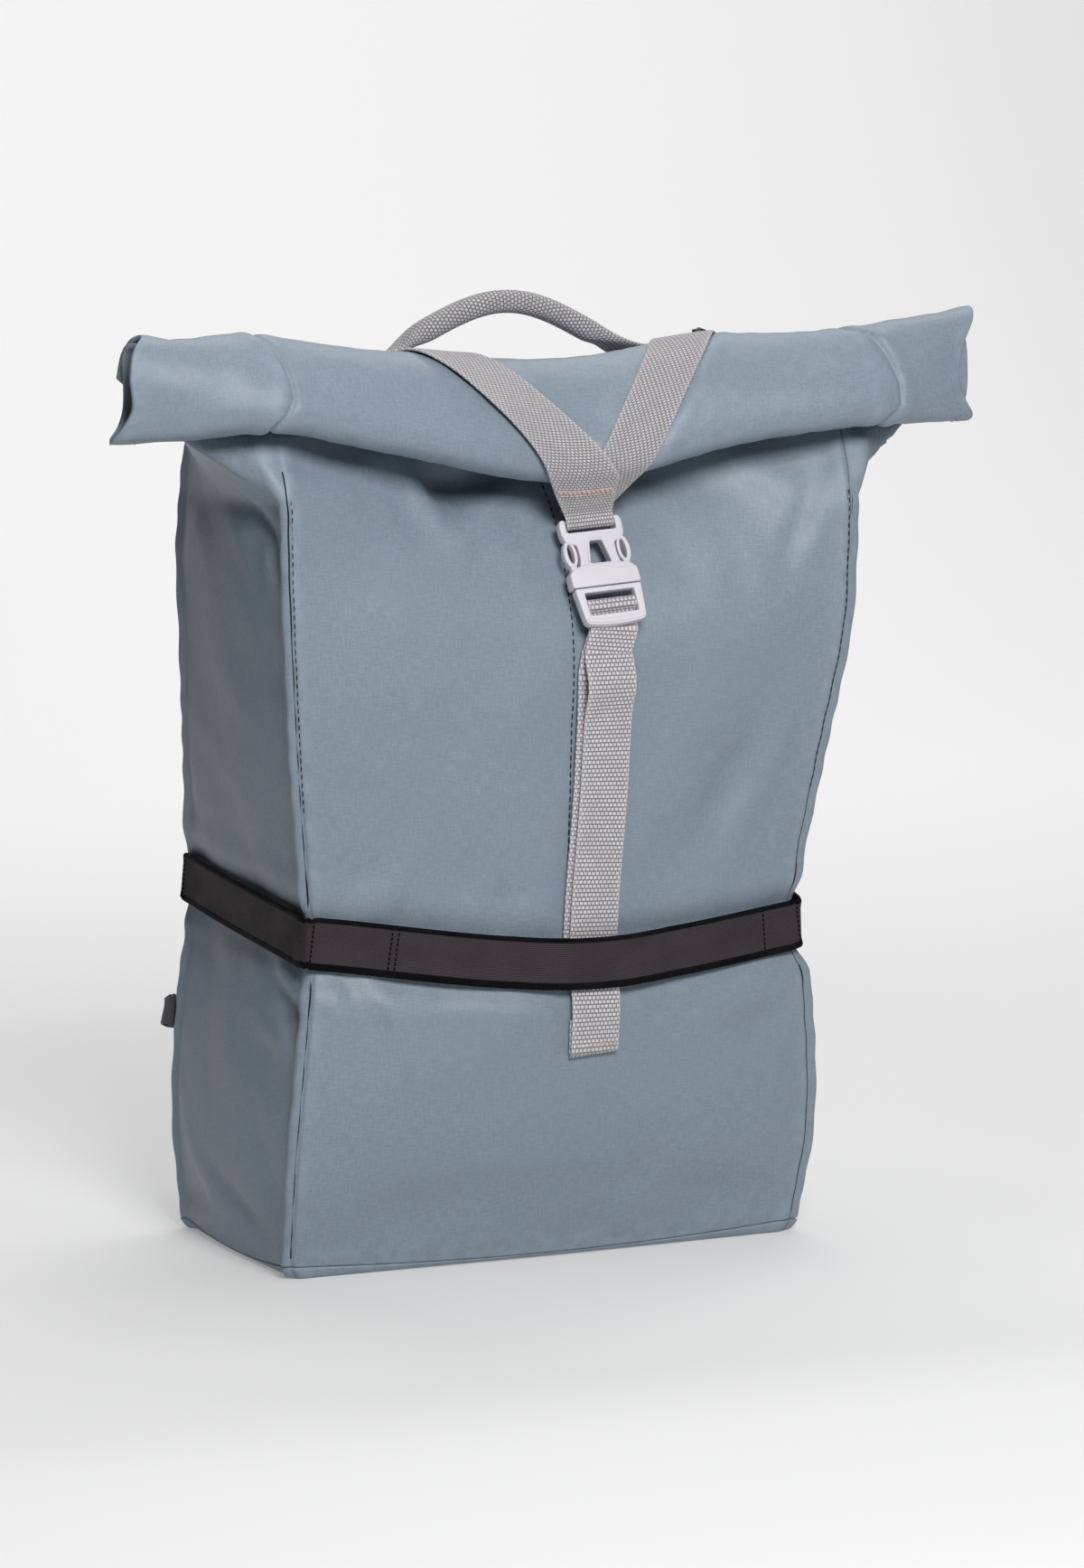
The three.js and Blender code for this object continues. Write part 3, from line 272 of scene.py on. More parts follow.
# Curves and surfaces
def along(rows, place, column):
    """Value of a column at places along a table, on a smooth curve through its rows."""
    at, value = rows["at"], rows[column]
    count = len(at)
    before = np.maximum(np.arange(count) - 1, 0)
    after = np.minimum(np.arange(count) + 1, count - 1)
    slope = (value[after] - value[before]) / (at[after] - at[before])
    held = np.clip(np.asarray(place, float), at[0], at[-1])
    i = np.clip(np.searchsorted(at, held) - 1, 0, count - 2)
    step = at[i + 1] - at[i]
    t = (held - at[i]) / step
    return (
        (2 * t**3 - 3 * t**2 + 1) * value[i]
        + (t**3 - 2 * t**2 + t) * step * slope[i]
        + (3 * t**2 - 2 * t**3) * value[i + 1]
        + (t**3 - t**2) * step * slope[i + 1]
    )


def stack(*parts):
    return np.stack(np.broadcast_arrays(*parts), axis=-1)


def unit(vectors):
    return vectors / np.maximum(np.linalg.norm(vectors, axis=-1, keepdims=True), 1e-9)


def walked(points):
    """Distance along a line of points, at each of them."""
    return np.concatenate([[0], np.cumsum(np.linalg.norm(np.diff(points, axis=0), axis=1))])


def smooth(value, low, high):
    t = np.clip((value - low) / (high - low), 0, 1)
    return t * t * (3 - 2 * t)


def bell(value, width):
    return np.exp(-((value / width) ** 2))


def half_width(h):
    return along(BODY, h, "width") * BASE_WIDTH / 2


def front_seam(h):
    return -along(BODY, h, "front") * BASE_DEPTH / 2


def back_seam(h):
    return along(BODY, h, "back") * BASE_DEPTH / 2


def rim_lift(share):
    return BASE_EDGE - BASE_SAG * (1 - share**2)


def height_of(h, share):
    return rim_lift(share) + (RIM_HEIGHT - rim_lift(share)) * h


def share_of_height(z):
    return (z - rim_lift(0)) / (RIM_HEIGHT - rim_lift(0))


def front_point(h, s):
    y = front_seam(h) - along(BODY, h, "front_bulge") * FRONT_BULGE * (1 - s**2)
    return stack(half_width(h) * s, y, height_of(h, s))


def back_point(h, s):
    y = back_seam(h) + along(BODY, h, "back_bulge") * BACK_BULGE * (1 - s**4)
    return stack(half_width(h) * s, y, height_of(h, s))


def side_point(h, q, hand):
    fold = np.interp(h, BODY["at"], BODY["fold"]) * BASE_DEPTH / 2
    place = np.interp(h, BODY["at"], BODY["fold_place"])
    tent = np.where(q < place, q / place, (1 - q) / (1 - place))
    bulge = along(BODY, h, "side_bulge") * SIDE_BULGE * 4 * q * (1 - q)
    y = front_seam(h) + (back_seam(h) - front_seam(h)) * q
    return stack(hand * (half_width(h) + bulge + fold * tent), y, height_of(h, 2 * q - 1))


PANELS = {
    "front": (front_point, -1, 1),
    "right": (lambda h, q: side_point(h, q, 1), 0, 1),
    "back": (lambda h, s: back_point(h, -s), -1, 1),
    "left": (lambda h, q: side_point(h, 1 - q, -1), 0, 1),
}


def ripples(across, up, seed, short, long, count=14):
    """Gentle unevenness from waves of random direction and length, from -1 to 1."""
    draw = np.random.default_rng(seed)
    total = np.zeros(np.broadcast(across, up).shape)
    for _ in range(count):
        angle, phase = draw.uniform(0, np.pi), draw.uniform(0, 2 * np.pi)
        wave = np.exp(draw.uniform(np.log(short), np.log(long)))
        total = total + wave * np.sin(
            2 * np.pi * (across * np.cos(angle) + up * np.sin(angle)) / wave + phase
        )
    return total / (long * math.sqrt(count))


def dents(rows, across, up):
    total = np.zeros(np.broadcast(across, up).shape)
    for k in range(len(rows["across"])):
        row = {name: column[k] for name, column in rows.items()}
        c, s = math.cos(math.radians(row["angle"])), math.sin(math.radians(row["angle"]))
        run = (across - row["across"]) * c + (up - row["up"]) * s
        off = (up - row["up"]) * c - (across - row["across"]) * s
        soft, crisp = bell(off, row["width"]), np.exp(-1.6 * np.abs(off) / row["width"])
        total = total + row["depth"] * bell(run, row["length"]) * (soft + (crisp - soft) * row["sharp"])
    return total


def drift(z):
    return along(DRIFT, share_of_height(z), "right") * WEBBING_WIDTH


# Where each panel lies along the band, which runs from the back of the left side to that of the right
BAND_SPOTS = {"left": (0.0, 0.25), "front": (0.25, 0.75), "right": (0.75, 1.0)}


def band_height(panel, share):
    """Height of the elastic band's middle at a share across a panel, from its left edge."""
    if panel == "back":
        return np.full(np.shape(share), -1000.0)
    start, stop = BAND_SPOTS[panel]
    return along(BAND, start + (stop - start) * share, "height") * RIM_HEIGHT


def relief(panel, h, share, base):
    """How far the cloth stands off its smooth shape, in millimetres."""
    _, low, high = PANELS[panel]
    t = (share - low) / (high - low)
    width = {"front": 2 * half_width(h), "back": 2 * half_width(h)}.get(panel, back_seam(h) - front_seam(h))
    edge = np.minimum(t, 1 - t) * width
    across = base[..., 0] if panel in ("front", "back") else base[..., 1]
    up = base[..., 2]
    seed = {"front": 11, "right": 12, "back": 13, "left": 14}[panel]
    cloth = dents(DENTS[panel], across, up) + 1.5 * ripples(across, up, seed, 40, 150)
    cloth = cloth + 0.25 * ripples(across, up, seed + 20, 12, 36)
    cloth = cloth * smooth(edge, 0, 26) * smooth(up, 6, 34)
    ridge = {"left": 3.0, "right": 6.0}.get(panel, 0.5)
    fade = 1 - 0.45 * bell(t, 0.5) if panel == "back" else 1
    seam = -SEAM_DEPTH * bell(edge, SEAM_WIDTH) + ridge * bell(edge - 5, 3.4) * fade
    pucker = 0.35 * np.sin(up / 4.1 + 1.7 * np.sin(up / 23)) * bell(edge - 4, 6)
    off = np.abs(up - band_height(panel, t))
    waist = -1.4 * smooth(off, BAND_WIDTH, 0.4 * BAND_WIDTH) + 1.3 * bell(off - 0.95 * BAND_WIDTH, 9)
    hem = 0.8 * bell(up - 13, 5) if panel != "back" else 0
    total = cloth + seam + pucker * (1 - smooth(up, RIM_HEIGHT - 30, RIM_HEIGHT)) + waist + hem
    if panel == "front":
        off_strap = np.abs(across - drift(up)) - WEBBING_WIDTH / 2
        covered = 1 - smooth(off_strap, 3, 14)
        centre = -0.5 * bell(across + 0.8, 1.2) * smooth(up, 190, 215)
        total = total - covered * np.maximum(total - 0.1, 0) + centre
    total = total - bell(off, BAND_WIDTH * 0.62) * np.maximum(total, 0) * 0.8
    below_rim = smooth(RIM_HEIGHT + 2 - up, 0, 14)
    return total * below_rim + np.minimum(seam, 0) * (1 - below_rim)


def cloth_at(panel, h, share, lift=0.0):
    """Points of the dressed panel, and its outward normals."""
    point, low, high = PANELS[panel]
    h, share = np.broadcast_arrays(np.asarray(h, float), np.asarray(share, float))
    step = 0.004
    held = np.clip(share, low + step, high - step)
    upright = np.clip(h, step, 1 - step)
    rise = point(upright + step, held) - point(upright - step, held)
    run = point(upright, held + step) - point(upright, held - step)
    normal = unit(np.cross(run, rise))
    base = point(h, share)
    return base + normal * (relief(panel, h, share, base) + lift)[..., None], normal


def front_at(x, z, lift):
    """Points lifted off the smooth front, at places across and up it in millimetres."""
    h = share_of_height(z)
    y = front_point(h, np.clip(x / half_width(h), -1, 1))[..., 1]
    return stack(x, y - lift, z)


# Rolled top
def spiral(place, degrees, out):
    lean = np.radians(along(ROLL, place, "lean"))
    angle = np.radians(degrees)
    shrink = ROLL_PITCH * degrees / 360 - out
    long = along(ROLL, place, "long") * ROLL_HEIGHT / 2 - shrink
    thick = along(ROLL, place, "thick") * ROLL_THICKNESS / 2 - shrink
    up = long * np.sign(np.cos(angle)) * np.abs(np.cos(angle)) ** ROLL_SQUARE
    forth = thick * np.sign(np.sin(angle)) * np.abs(np.sin(angle)) ** ROLL_SQUARE
    return stack(
        place * ROLL_LENGTH / 2,
        -along(ROLL, place, "forward") * BASE_DEPTH / 2 + up * np.sin(lean) - forth * np.cos(lean),
        along(ROLL, place, "height") * RIM_HEIGHT + up * np.cos(lean) + forth * np.sin(lean),
    )


def sheet_line(place, station):
    """Middle of the sheet. Stations run from the rim over the crest and round the spiral."""
    place, station = np.broadcast_arrays(np.asarray(place, float), np.asarray(station, float))
    turn = np.maximum(station - TAIL_STEPS, 0) / SPIRAL_STEPS
    wound = spiral(place, TAIL_START + turn * 360 * ROLL_TURNS, 0)
    start = spiral(place, np.full(place.shape, float(TAIL_START)), 0)
    tangent = unit(spiral(place, np.full(place.shape, TAIL_START + 4.0), 0) - start)
    rim = stack(
        place * ROLL_LENGTH / 2,
        along(ROLL, place, "rim_back") * BASE_DEPTH / 2,
        along(ROLL, place, "rim_height") * RIM_HEIGHT,
    )
    reach = np.linalg.norm(start - rim, axis=-1, keepdims=True) / 3
    t = np.clip(station / TAIL_STEPS, 0, 1)[..., None]
    tail = (
        (1 - t) ** 3 * rim
        + 3 * (1 - t) ** 2 * t * (rim + np.array([0, -0.4, 1.1]) * reach)
        + 3 * (1 - t) * t**2 * (start - tangent * reach)
        + t**3 * start
    )
    return np.where((station < TAIL_STEPS)[..., None], tail, wound)


def sheet_frame(place, station):
    step = 0.05
    run = sheet_line(place, station + step) - sheet_line(place, np.maximum(station - step, 0))
    across = sheet_line(place + 0.01, station) - sheet_line(place - 0.01, station)
    return sheet_line(place, station), unit(np.cross(run, across))


CREST = TAIL_STEPS
LEAVE = TAIL_STEPS + 9
BEHIND = TAIL_STEPS - 2


def sheet_degrees(station):
    return TAIL_START + (station - TAIL_STEPS) / SPIRAL_STEPS * 360 * ROLL_TURNS


GUIDE_STATIONS = np.linspace(0, TAIL_STEPS + SPIRAL_STEPS, 400)
GUIDE = sheet_line(STRAP_SPREAD / ROLL_LENGTH, GUIDE_STATIONS)
GUIDE_RUN = walked(GUIDE)


def run_at(station):
    """Millimetres along the sheet from its rim."""
    return np.interp(station, GUIDE_STATIONS, GUIDE_RUN)


def strap_centre(hand, station):
    """Middle of a crossing webbing on the roll, in millimetres across."""
    share = (run_at(station) - run_at(BEHIND)) / (run_at(LEAVE) - run_at(BEHIND))
    join = drift(PARTING_HEIGHT * RIM_HEIGHT)
    return hand * STRAP_SPREAD + (join + hand * STRAP_MEET - hand * STRAP_SPREAD) * share


def roll_relief(x, station):
    run = run_at(station)
    outer = smooth(TAIL_STEPS + 20 - station, 0, 4)
    cloth = dents(DENTS["roll"], x, run) + 1.3 * ripples(x * 0.45, run, 31, 30, 90)
    cloth = cloth + 0.3 * ripples(x, run, 32, 10, 30)
    ends = smooth(ROLL_LENGTH / 2 - np.abs(x), 0, 20)
    total = cloth * (0.35 + 0.65 * ends) * smooth(station, 0, 4)
    degrees = sheet_degrees(station)
    slant = np.where(x < 0, along(ROLL_SLANT, degrees, "left"), along(ROLL_SLANT, degrees, "right"))
    beside = np.sign(x) * (x - slant) - ROLL_SEAM
    total = total - 1.7 * bell(beside, 1.6) + 1.1 * bell(beside - 6, 5) + 0.5 * bell(beside + 6, 5)
    total = total + 0.4 * np.sin(run / 4.3 + 1.5 * np.sin(run / 19)) * bell(beside, 9)
    for hand in (-1, 1):
        off = np.abs(x - strap_centre(hand, station)) - WEBBING_WIDTH / 2
        under = (1 - smooth(off, -1, 5)) * smooth(station, BEHIND - 2, BEHIND)
        under = under * (1 - smooth(station, LEAVE, LEAVE + 3))
        beside_tape = 0.8 * bell(off - 7, 5) * smooth(station, BEHIND, CREST)
        total = total * (1 - under) - 0.9 * under
        total = total + beside_tape * (1 - smooth(station, LEAVE, LEAVE + 2))
    near_handle = 1 - smooth(np.abs(x), HANDLE_SPAN / 2 + 4, HANDLE_SPAN / 2 + 14)
    foot = near_handle * (1 - smooth(station, 3.2, 4.2))
    total = total * (1 - foot) - 0.1 * foot
    return total * outer


# Meshes
def new_object(name, points, faces, uv=None, weights=None):
    mesh = bpy.data.meshes.new(name)
    mesh.from_pydata((points * MM).tolist(), [], faces)
    if uv is not None:
        layer = mesh.uv_layers.new(name="weave")
        index = np.zeros(len(mesh.loops), dtype=np.int32)
        mesh.loops.foreach_get("vertex_index", index)
        layer.data.foreach_set("uv", (uv[index] * MM).astype(np.float32).ravel())
    if weights is not None:
        wear = mesh.attributes.new("wear", "FLOAT", "POINT")
        wear.data.foreach_set("value", weights.astype(np.float32))
    mesh.validate()
    mesh.shade_smooth()
    made = bpy.data.objects.new(name, mesh)
    bpy.context.scene.collection.objects.link(made)
    return made


def grid_faces(rows, columns, start=0, flip=False):
    faces = []
    for i in range(rows - 1):
        for j in range(columns - 1):
            a = start + i * columns + j
            quad = (a, a + 1, a + columns + 1, a + columns)
            faces.append(quad[::-1] if flip else quad)
    return faces


def weld(piece, distance=1e-6):
    work = bmesh.new()
    work.from_mesh(piece.data)
    bmesh.ops.remove_doubles(work, verts=work.verts, dist=distance)
    bmesh.ops.recalc_face_normals(work, faces=work.faces)
    work.to_mesh(piece.data)
    work.free()
    piece.data.shade_smooth()
    return piece


def slab(name, outer, inner, uv, wear):
    """Closed sheet between two like grids of points."""
    rows, columns = outer.shape[:2]
    count = rows * columns
    points = np.concatenate([outer.reshape(-1, 3), inner.reshape(-1, 3)])
    faces = grid_faces(rows, columns) + grid_faces(rows, columns, count, flip=True)
    for i in range(rows - 1):
        for j, turn in ((0, 1), (columns - 1, -1)):
            a, b = i * columns + j, (i + 1) * columns + j
            faces.append((a, b, b + count, a + count)[::turn])
    for j in range(columns - 1):
        for i, turn in ((0, -1), (rows - 1, 1)):
            a, b = i * columns + j, i * columns + j + 1
            faces.append((a, b, b + count, a + count)[::turn])
    both_uv = np.concatenate([uv.reshape(-1, 2)] * 2)
    return weld(new_object(name, points, faces, both_uv, np.concatenate([wear.ravel()] * 2)))


def sleeve(name, loop, middle, wear):
    """Closed sleeve through rings of points, capped at both ends."""
    rows, columns = loop.shape[:2]
    uv = np.stack(np.meshgrid(walked(loop[rows // 2]), walked(middle)), axis=-1).reshape(-1, 2)
    faces = grid_faces(rows, columns)
    faces.append(tuple(range(columns - 1))[::-1])
    faces.append(tuple((rows - 1) * columns + k for k in range(columns - 1)))
    return weld(new_object(name, loop.reshape(-1, 3), faces, uv, wear))


EDGE_SHARES = np.array([-0.5, -0.49, -0.465, -0.42, -0.3, -0.15, 0, 0.15, 0.3, 0.42, 0.465, 0.49, 0.5])
EDGE_HEIGHTS = np.array([0.0, 0.75, 1.12, 1.06, 1, 1, 1, 1, 1, 1.06, 1.12, 0.75, 0.0])


def webbing(name, centre, normal, thickness, heights=EDGE_HEIGHTS):
    """Woven tape from rows of points across its width, thick in the middle of its edges."""
    half = (heights * thickness / 2)[None, :, None]
    top, under = centre + normal * half, centre - normal * half
    loop = np.concatenate([top, under[:, -2:0:-1], top[:, :1]], axis=1)
    shares = np.concatenate([EDGE_SHARES, EDGE_SHARES[-2:0:-1], EDGE_SHARES[:1]])
    wear = np.tile(smooth(np.abs(shares), 0.4, 0.5), len(centre))
    return sleeve(name, loop, centre[:, centre.shape[1] // 2], wear)


def tube(name, centre, wide, thick, sides, square=1.0):
    """Closed tube from rings with two half-axis vectors each."""
    angle = np.linspace(0, 2 * np.pi, sides + 1)
    c, s = np.cos(angle), np.sin(angle)
    c, s = np.sign(c) * np.abs(c) ** square, np.sign(s) * np.abs(s) ** square
    loop = centre[:, None] + wide[:, None] * c[None, :, None] + thick[:, None] * s[None, :, None]
    return sleeve(name, loop, centre, np.zeros(loop.shape[0] * loop.shape[1]))


# One stitch: place along it as a share, swell as a share of the thread's radius, lift in radii
STITCH = ((-0.5, 0.35, -0.7), (-0.3, 0.9, 0.2), (0, 1, 0.45), (0.3, 0.9, 0.2), (0.5, 0.35, -0.7))


def stitches(name, runs, length=2.6, gap=1.3, radius=0.34, sides=6):
    """Threads along polylines. Each run is (points, normals), and every stitch dips at its ends."""
    points, faces = [], []
    for line, normal in runs:
        walk = walked(line)
        count = int(walk[-1] // (length + gap))
        for k in range(count):
            middle = (k + 0.5) * (length + gap)
            for place, swell, lift in STITCH:
                at = middle + place * length
                here = np.array([np.interp(at, walk, line[:, a]) for a in range(3)])
                ahead = np.array([np.interp(at + 0.5, walk, line[:, a]) for a in range(3)])
                out = unit(np.array([np.interp(at, walk, normal[:, a]) for a in range(3)]))
                beside = unit(np.cross(ahead - here, out))
                centre = here + out * lift * radius
                for turn in range(sides):
                    angle = 2 * np.pi * turn / sides
                    points.append(centre + radius * swell * (beside * np.cos(angle) + out * np.sin(angle)))
            first = len(points) - len(STITCH) * sides
            for ring in range(len(STITCH) - 1):
                for turn in range(sides):
                    a, b = first + ring * sides + turn, first + ring * sides + (turn + 1) % sides
                    faces.append((a, b, b + sides, a + sides))
            faces.append(tuple(first + t for t in range(sides))[::-1])
            faces.append(tuple(len(points) - sides + t for t in range(sides)))
    points = np.array(points)
    return weld(new_object(name, points, faces, points[:, :2], np.zeros(len(points))))


# Materials
def node(tree, kind, inputs=None, **settings):
    made = tree.nodes.new(kind)
    for name, value in settings.items():
        setattr(made, name, value)
    for key, value in (inputs or {}).items():
        socket = made.inputs[key]
        if isinstance(value, bpy.types.NodeSocket):
            tree.links.new(value, socket)
        else:
            socket.default_value = value
    return made


def maths(tree, operation, a, b):
    return node(tree, "ShaderNodeMath", {0: a, 1: b}, operation=operation).outputs[0]


def blend_colour(tree, share, a, b):
    return node(tree, "ShaderNodeMix", {0: share, 6: a, 7: b}, data_type="RGBA").outputs[2]


def to_range(tree, value, low, high, out_low, out_high):
    made = node(tree, "ShaderNodeMapRange", {0: value, 1: low, 2: high, 3: out_low, 4: out_high})
    return made.outputs[0]


def linear(colour):
    """Colour given from 0 to 255, as scene-linear RGBA."""
    share = np.array(colour) / 255
    value = np.where(share < 0.04045, share / 12.92, ((share + 0.055) / 1.055) ** 2.4)
    return (*value.tolist(), 1.0)


def shaded(base, share, add=0.0):
    """The same colour, lighter or darker by a share."""
    return (*[min(c * share + add, 1) for c in base[:3]], 1)


def start_material(name):
    made = bpy.data.materials.new(name)
    made.use_nodes = True
    tree = made.node_tree
    shader = tree.nodes["Principled BSDF"]
    return made, tree, shader


def weave_place(tree, across, run):
    """The piece's own cloth coordinates, counted in threads of the given sizes in millimetres."""
    place = node(tree, "ShaderNodeUVMap", uv_map="weave").outputs[0]
    scale = (1000 / across, 1000 / run, 1)
    return node(tree, "ShaderNodeVectorMath", {0: place, 1: scale}, operation="MULTIPLY").outputs[0]


def noise_at(tree, place, detail):
    return node(
        tree,
        "ShaderNodeTexNoise",
        {"Vector": place, "Scale": 1.0, "Detail": detail, "Roughness": 0.5},
        noise_dimensions="2D",
    ).outputs["Fac"]


def bump(tree, height, distance, strength=1.0, normal=None):
    inputs = {"Height": height, "Distance": distance * MM, "Strength": strength}
    if normal is not None:
        inputs["Normal"] = normal
    return node(tree, "ShaderNodeBump", inputs).outputs[0]


def worn_places(tree):
    return node(tree, "ShaderNodeAttribute", attribute_name="wear").outputs["Fac"]


def tarpaulin(name, colour):
    """Coated cloth: a heather of fine threads both ways under a satin coat."""
    made, tree, shader = start_material(name)
    warp = noise_at(tree, weave_place(tree, 0.7, 7.0), detail=3)
    weft = noise_at(tree, weave_place(tree, 7.0, 0.7), detail=3)
    threads = maths(tree, "ADD", warp, weft)
    speck = noise_at(tree, weave_place(tree, 1.1, 1.1), detail=2)
    patches = noise_at(tree, weave_place(tree, 70, 70), detail=4)
    streaks = to_range(tree, threads, 0.75, 1.25, 0, 1)
    heather = maths(tree, "ADD", streaks, to_range(tree, speck, 0.3, 0.7, -0.3, 0.3))
    base = linear(colour)
    dark = shaded(base, 0.89)
    light = shaded(base, 1.11)
    cloth = blend_colour(tree, heather, dark, light)
    dull = shaded(base, 0.93)
    cloth = blend_colour(tree, to_range(tree, patches, 0.35, 0.7, 0, 0.35), cloth, dull)
    wear = worn_places(tree)
    rubbed = shaded(base, 1.16, 0.012)
    blotches = noise_at(tree, weave_place(tree, 9, 9), detail=4)
    worn = maths(tree, "MULTIPLY", wear, to_range(tree, blotches, 0.4, 0.65, 0.1, 0.8))
    cloth = blend_colour(tree, worn, cloth, rubbed)
    tree.links.new(cloth, shader.inputs["Base Color"])
    satin = to_range(tree, speck, 0.3, 0.7, 0.46, 0.54)
    rough = maths(tree, "ADD", satin, maths(tree, "MULTIPLY", worn, 0.1))
    tree.links.new(rough, shader.inputs["Roughness"])
    shader.inputs["Specular IOR Level"].default_value = 0.5
    grain = maths(tree, "ADD", threads, speck)
    fine = bump(tree, grain, 0.1, 0.6)
    soft = bump(tree, noise_at(tree, weave_place(tree, 40, 40), detail=1), 1.0, 0.15, fine)
    tree.links.new(soft, shader.inputs["Normal"])
    return made


def woven(name, colour, block, shade=0.72, rough=0.78, depth=0.35, fuzz=0.25):
    """Woven tape: rows of small blocks, each row set off against the last."""
    made, tree, shader = start_material(name)
    across, run = block
    place = weave_place(tree, across, run)
    bricks = node(
        tree,
        "ShaderNodeTexBrick",
        {
            "Vector": place,
            "Color1": (1, 1, 1, 1),
            "Color2": (0.8, 0.8, 0.8, 1),
            "Mortar": (0, 0, 0, 1),
            "Scale": 1.0,
            "Mortar Size": 0.2,
            "Mortar Smooth": 0.7,
            "Brick Width": 1.0,
            "Row Height": 1.0,
        },
    )
    height = node(tree, "ShaderNodeSeparateColor", {0: bricks.outputs["Color"]}).outputs[0]
    fibre = noise_at(tree, weave_place(tree, 0.35, 1.4), detail=2)
    patches = noise_at(tree, weave_place(tree, 14, 22), detail=3)
    base = linear(colour)
    dark = shaded(base, shade * 0.62)
    light = shaded(base, 1.16)
    cloth = blend_colour(tree, height, dark, light)
    tone = to_range(tree, maths(tree, "ADD", fibre, patches), 0.6, 1.4, 0.0, 0.35)
    cloth = blend_colour(tree, tone, cloth, shaded(base, shade))
    wear = worn_places(tree)
    cloth = blend_colour(tree, maths(tree, "MULTIPLY", wear, 0.35), cloth, shaded(base, 1.15))
    tree.links.new(cloth, shader.inputs["Base Color"])
    tree.links.new(to_range(tree, fibre, 0.3, 0.7, rough - 0.06, rough + 0.08), shader.inputs["Roughness"])
    shader.inputs["Sheen Weight"].default_value = fuzz
    shader.inputs["Sheen Roughness"].default_value = 0.5
    shader.inputs["Specular IOR Level"].default_value = 0.3
    fine = bump(tree, fibre, 0.08, 0.5)
    tree.links.new(bump(tree, height, depth, 0.8, fine), shader.inputs["Normal"])
    return made


def solid_noise(tree, scale, detail):
    """Noise through the piece's own space."""
    place = node(tree, "ShaderNodeTexCoord").outputs["Object"]
    inputs = {"Vector": place, "Scale": scale, "Detail": detail}
    return node(tree, "ShaderNodeTexNoise", inputs).outputs["Fac"]


def waves(tree, scale, direction, distortion=0.0):
    """Even waves over the piece's own cloth coordinates, in millimetres."""
    inputs = {"Vector": weave_place(tree, 1.0, 1.0), "Scale": scale, "Distortion": distortion}
    return node(tree, "ShaderNodeTexWave", inputs, bands_direction=direction).outputs["Fac"]


def elastic(name, width):
    """Elastic: beaded black edges, and a browner middle with fine ribs along it."""
    made, tree, shader = start_material(name)
    place = node(tree, "ShaderNodeUVMap", uv_map="weave").outputs[0]
    across = node(tree, "ShaderNodeSeparateXYZ", {0: place}).outputs[0]
    face = maths(tree, "PINGPONG", across, width * MM)
    inward = maths(tree, "MINIMUM", face, maths(tree, "SUBTRACT", width * MM, face))
    edge = to_range(tree, inward, 3.2 * MM, 3.6 * MM, 1, 0)
    ribs = waves(tree, 0.32, "X", 0.3)
    beads = waves(tree, 0.22, "Y")
    picks = waves(tree, 0.3, "Y")
    grid = maths(tree, "MULTIPLY", ribs, to_range(tree, picks, 0, 1, 0.6, 1.0))
    middle_height = maths(tree, "MULTIPLY", grid, maths(tree, "SUBTRACT", 1.0, edge))
    height = maths(tree, "ADD", middle_height, maths(tree, "MULTIPLY", beads, edge))
    middle = blend_colour(tree, grid, linear((48, 43, 46)), linear((76, 70, 73)))
    border = blend_colour(tree, beads, linear((0, 0, 1)), linear((12, 12, 16)))
    cloth = blend_colour(tree, edge, middle, border)
    patches = noise_at(tree, weave_place(tree, 20, 30), detail=3)
    cloth = blend_colour(tree, to_range(tree, patches, 0.35, 0.7, 0, 0.25), cloth, linear((36, 34, 37)))
    tree.links.new(cloth, shader.inputs["Base Color"])
    tree.links.new(to_range(tree, patches, 0.3, 0.7, 0.55, 0.68), shader.inputs["Roughness"])
    shader.inputs["Sheen Weight"].default_value = 0.0
    shader.inputs["Specular IOR Level"].default_value = 0.06
    tree.links.new(bump(tree, height, 0.4, 0.8), shader.inputs["Normal"])
    return made


def moulded(name, colour, rough, grain=0.05):
    """Moulded plastic with a fine spark-eroded grain and lighter rubbed edges."""
    made, tree, shader = start_material(name)
    fine = solid_noise(tree, 2600.0, 3.0)
    soft = solid_noise(tree, 120.0, 4.0)
    base = linear(colour)
    cloth = blend_colour(tree, to_range(tree, soft, 0.35, 0.7, 0, 0.5), base, shaded(base, 0.93))
    edge = node(tree, "ShaderNodeNewGeometry").outputs["Pointiness"]
    cloth = blend_colour(tree, to_range(tree, edge, 0.52, 0.62, 0, 0.4), cloth, shaded(base, 1.15))
    tree.links.new(cloth, shader.inputs["Base Color"])
    tree.links.new(to_range(tree, soft, 0.3, 0.7, rough - 0.05, rough + 0.07), shader.inputs["Roughness"])
    tree.links.new(bump(tree, fine, grain, 0.4), shader.inputs["Normal"])
    return made


def thread(name, colour, fuzz=0.2):
    made, tree, shader = start_material(name)
    twist = solid_noise(tree, 900.0, 2.0)
    base = linear(colour)
    tone = blend_colour(tree, twist, shaded(base, 0.7), shaded(base, 1.2))
    tree.links.new(tone, shader.inputs["Base Color"])
    shader.inputs["Roughness"].default_value = 0.6
    shader.inputs["Specular IOR Level"].default_value = fuzz
    shader.inputs["Sheen Weight"].default_value = fuzz
    return made


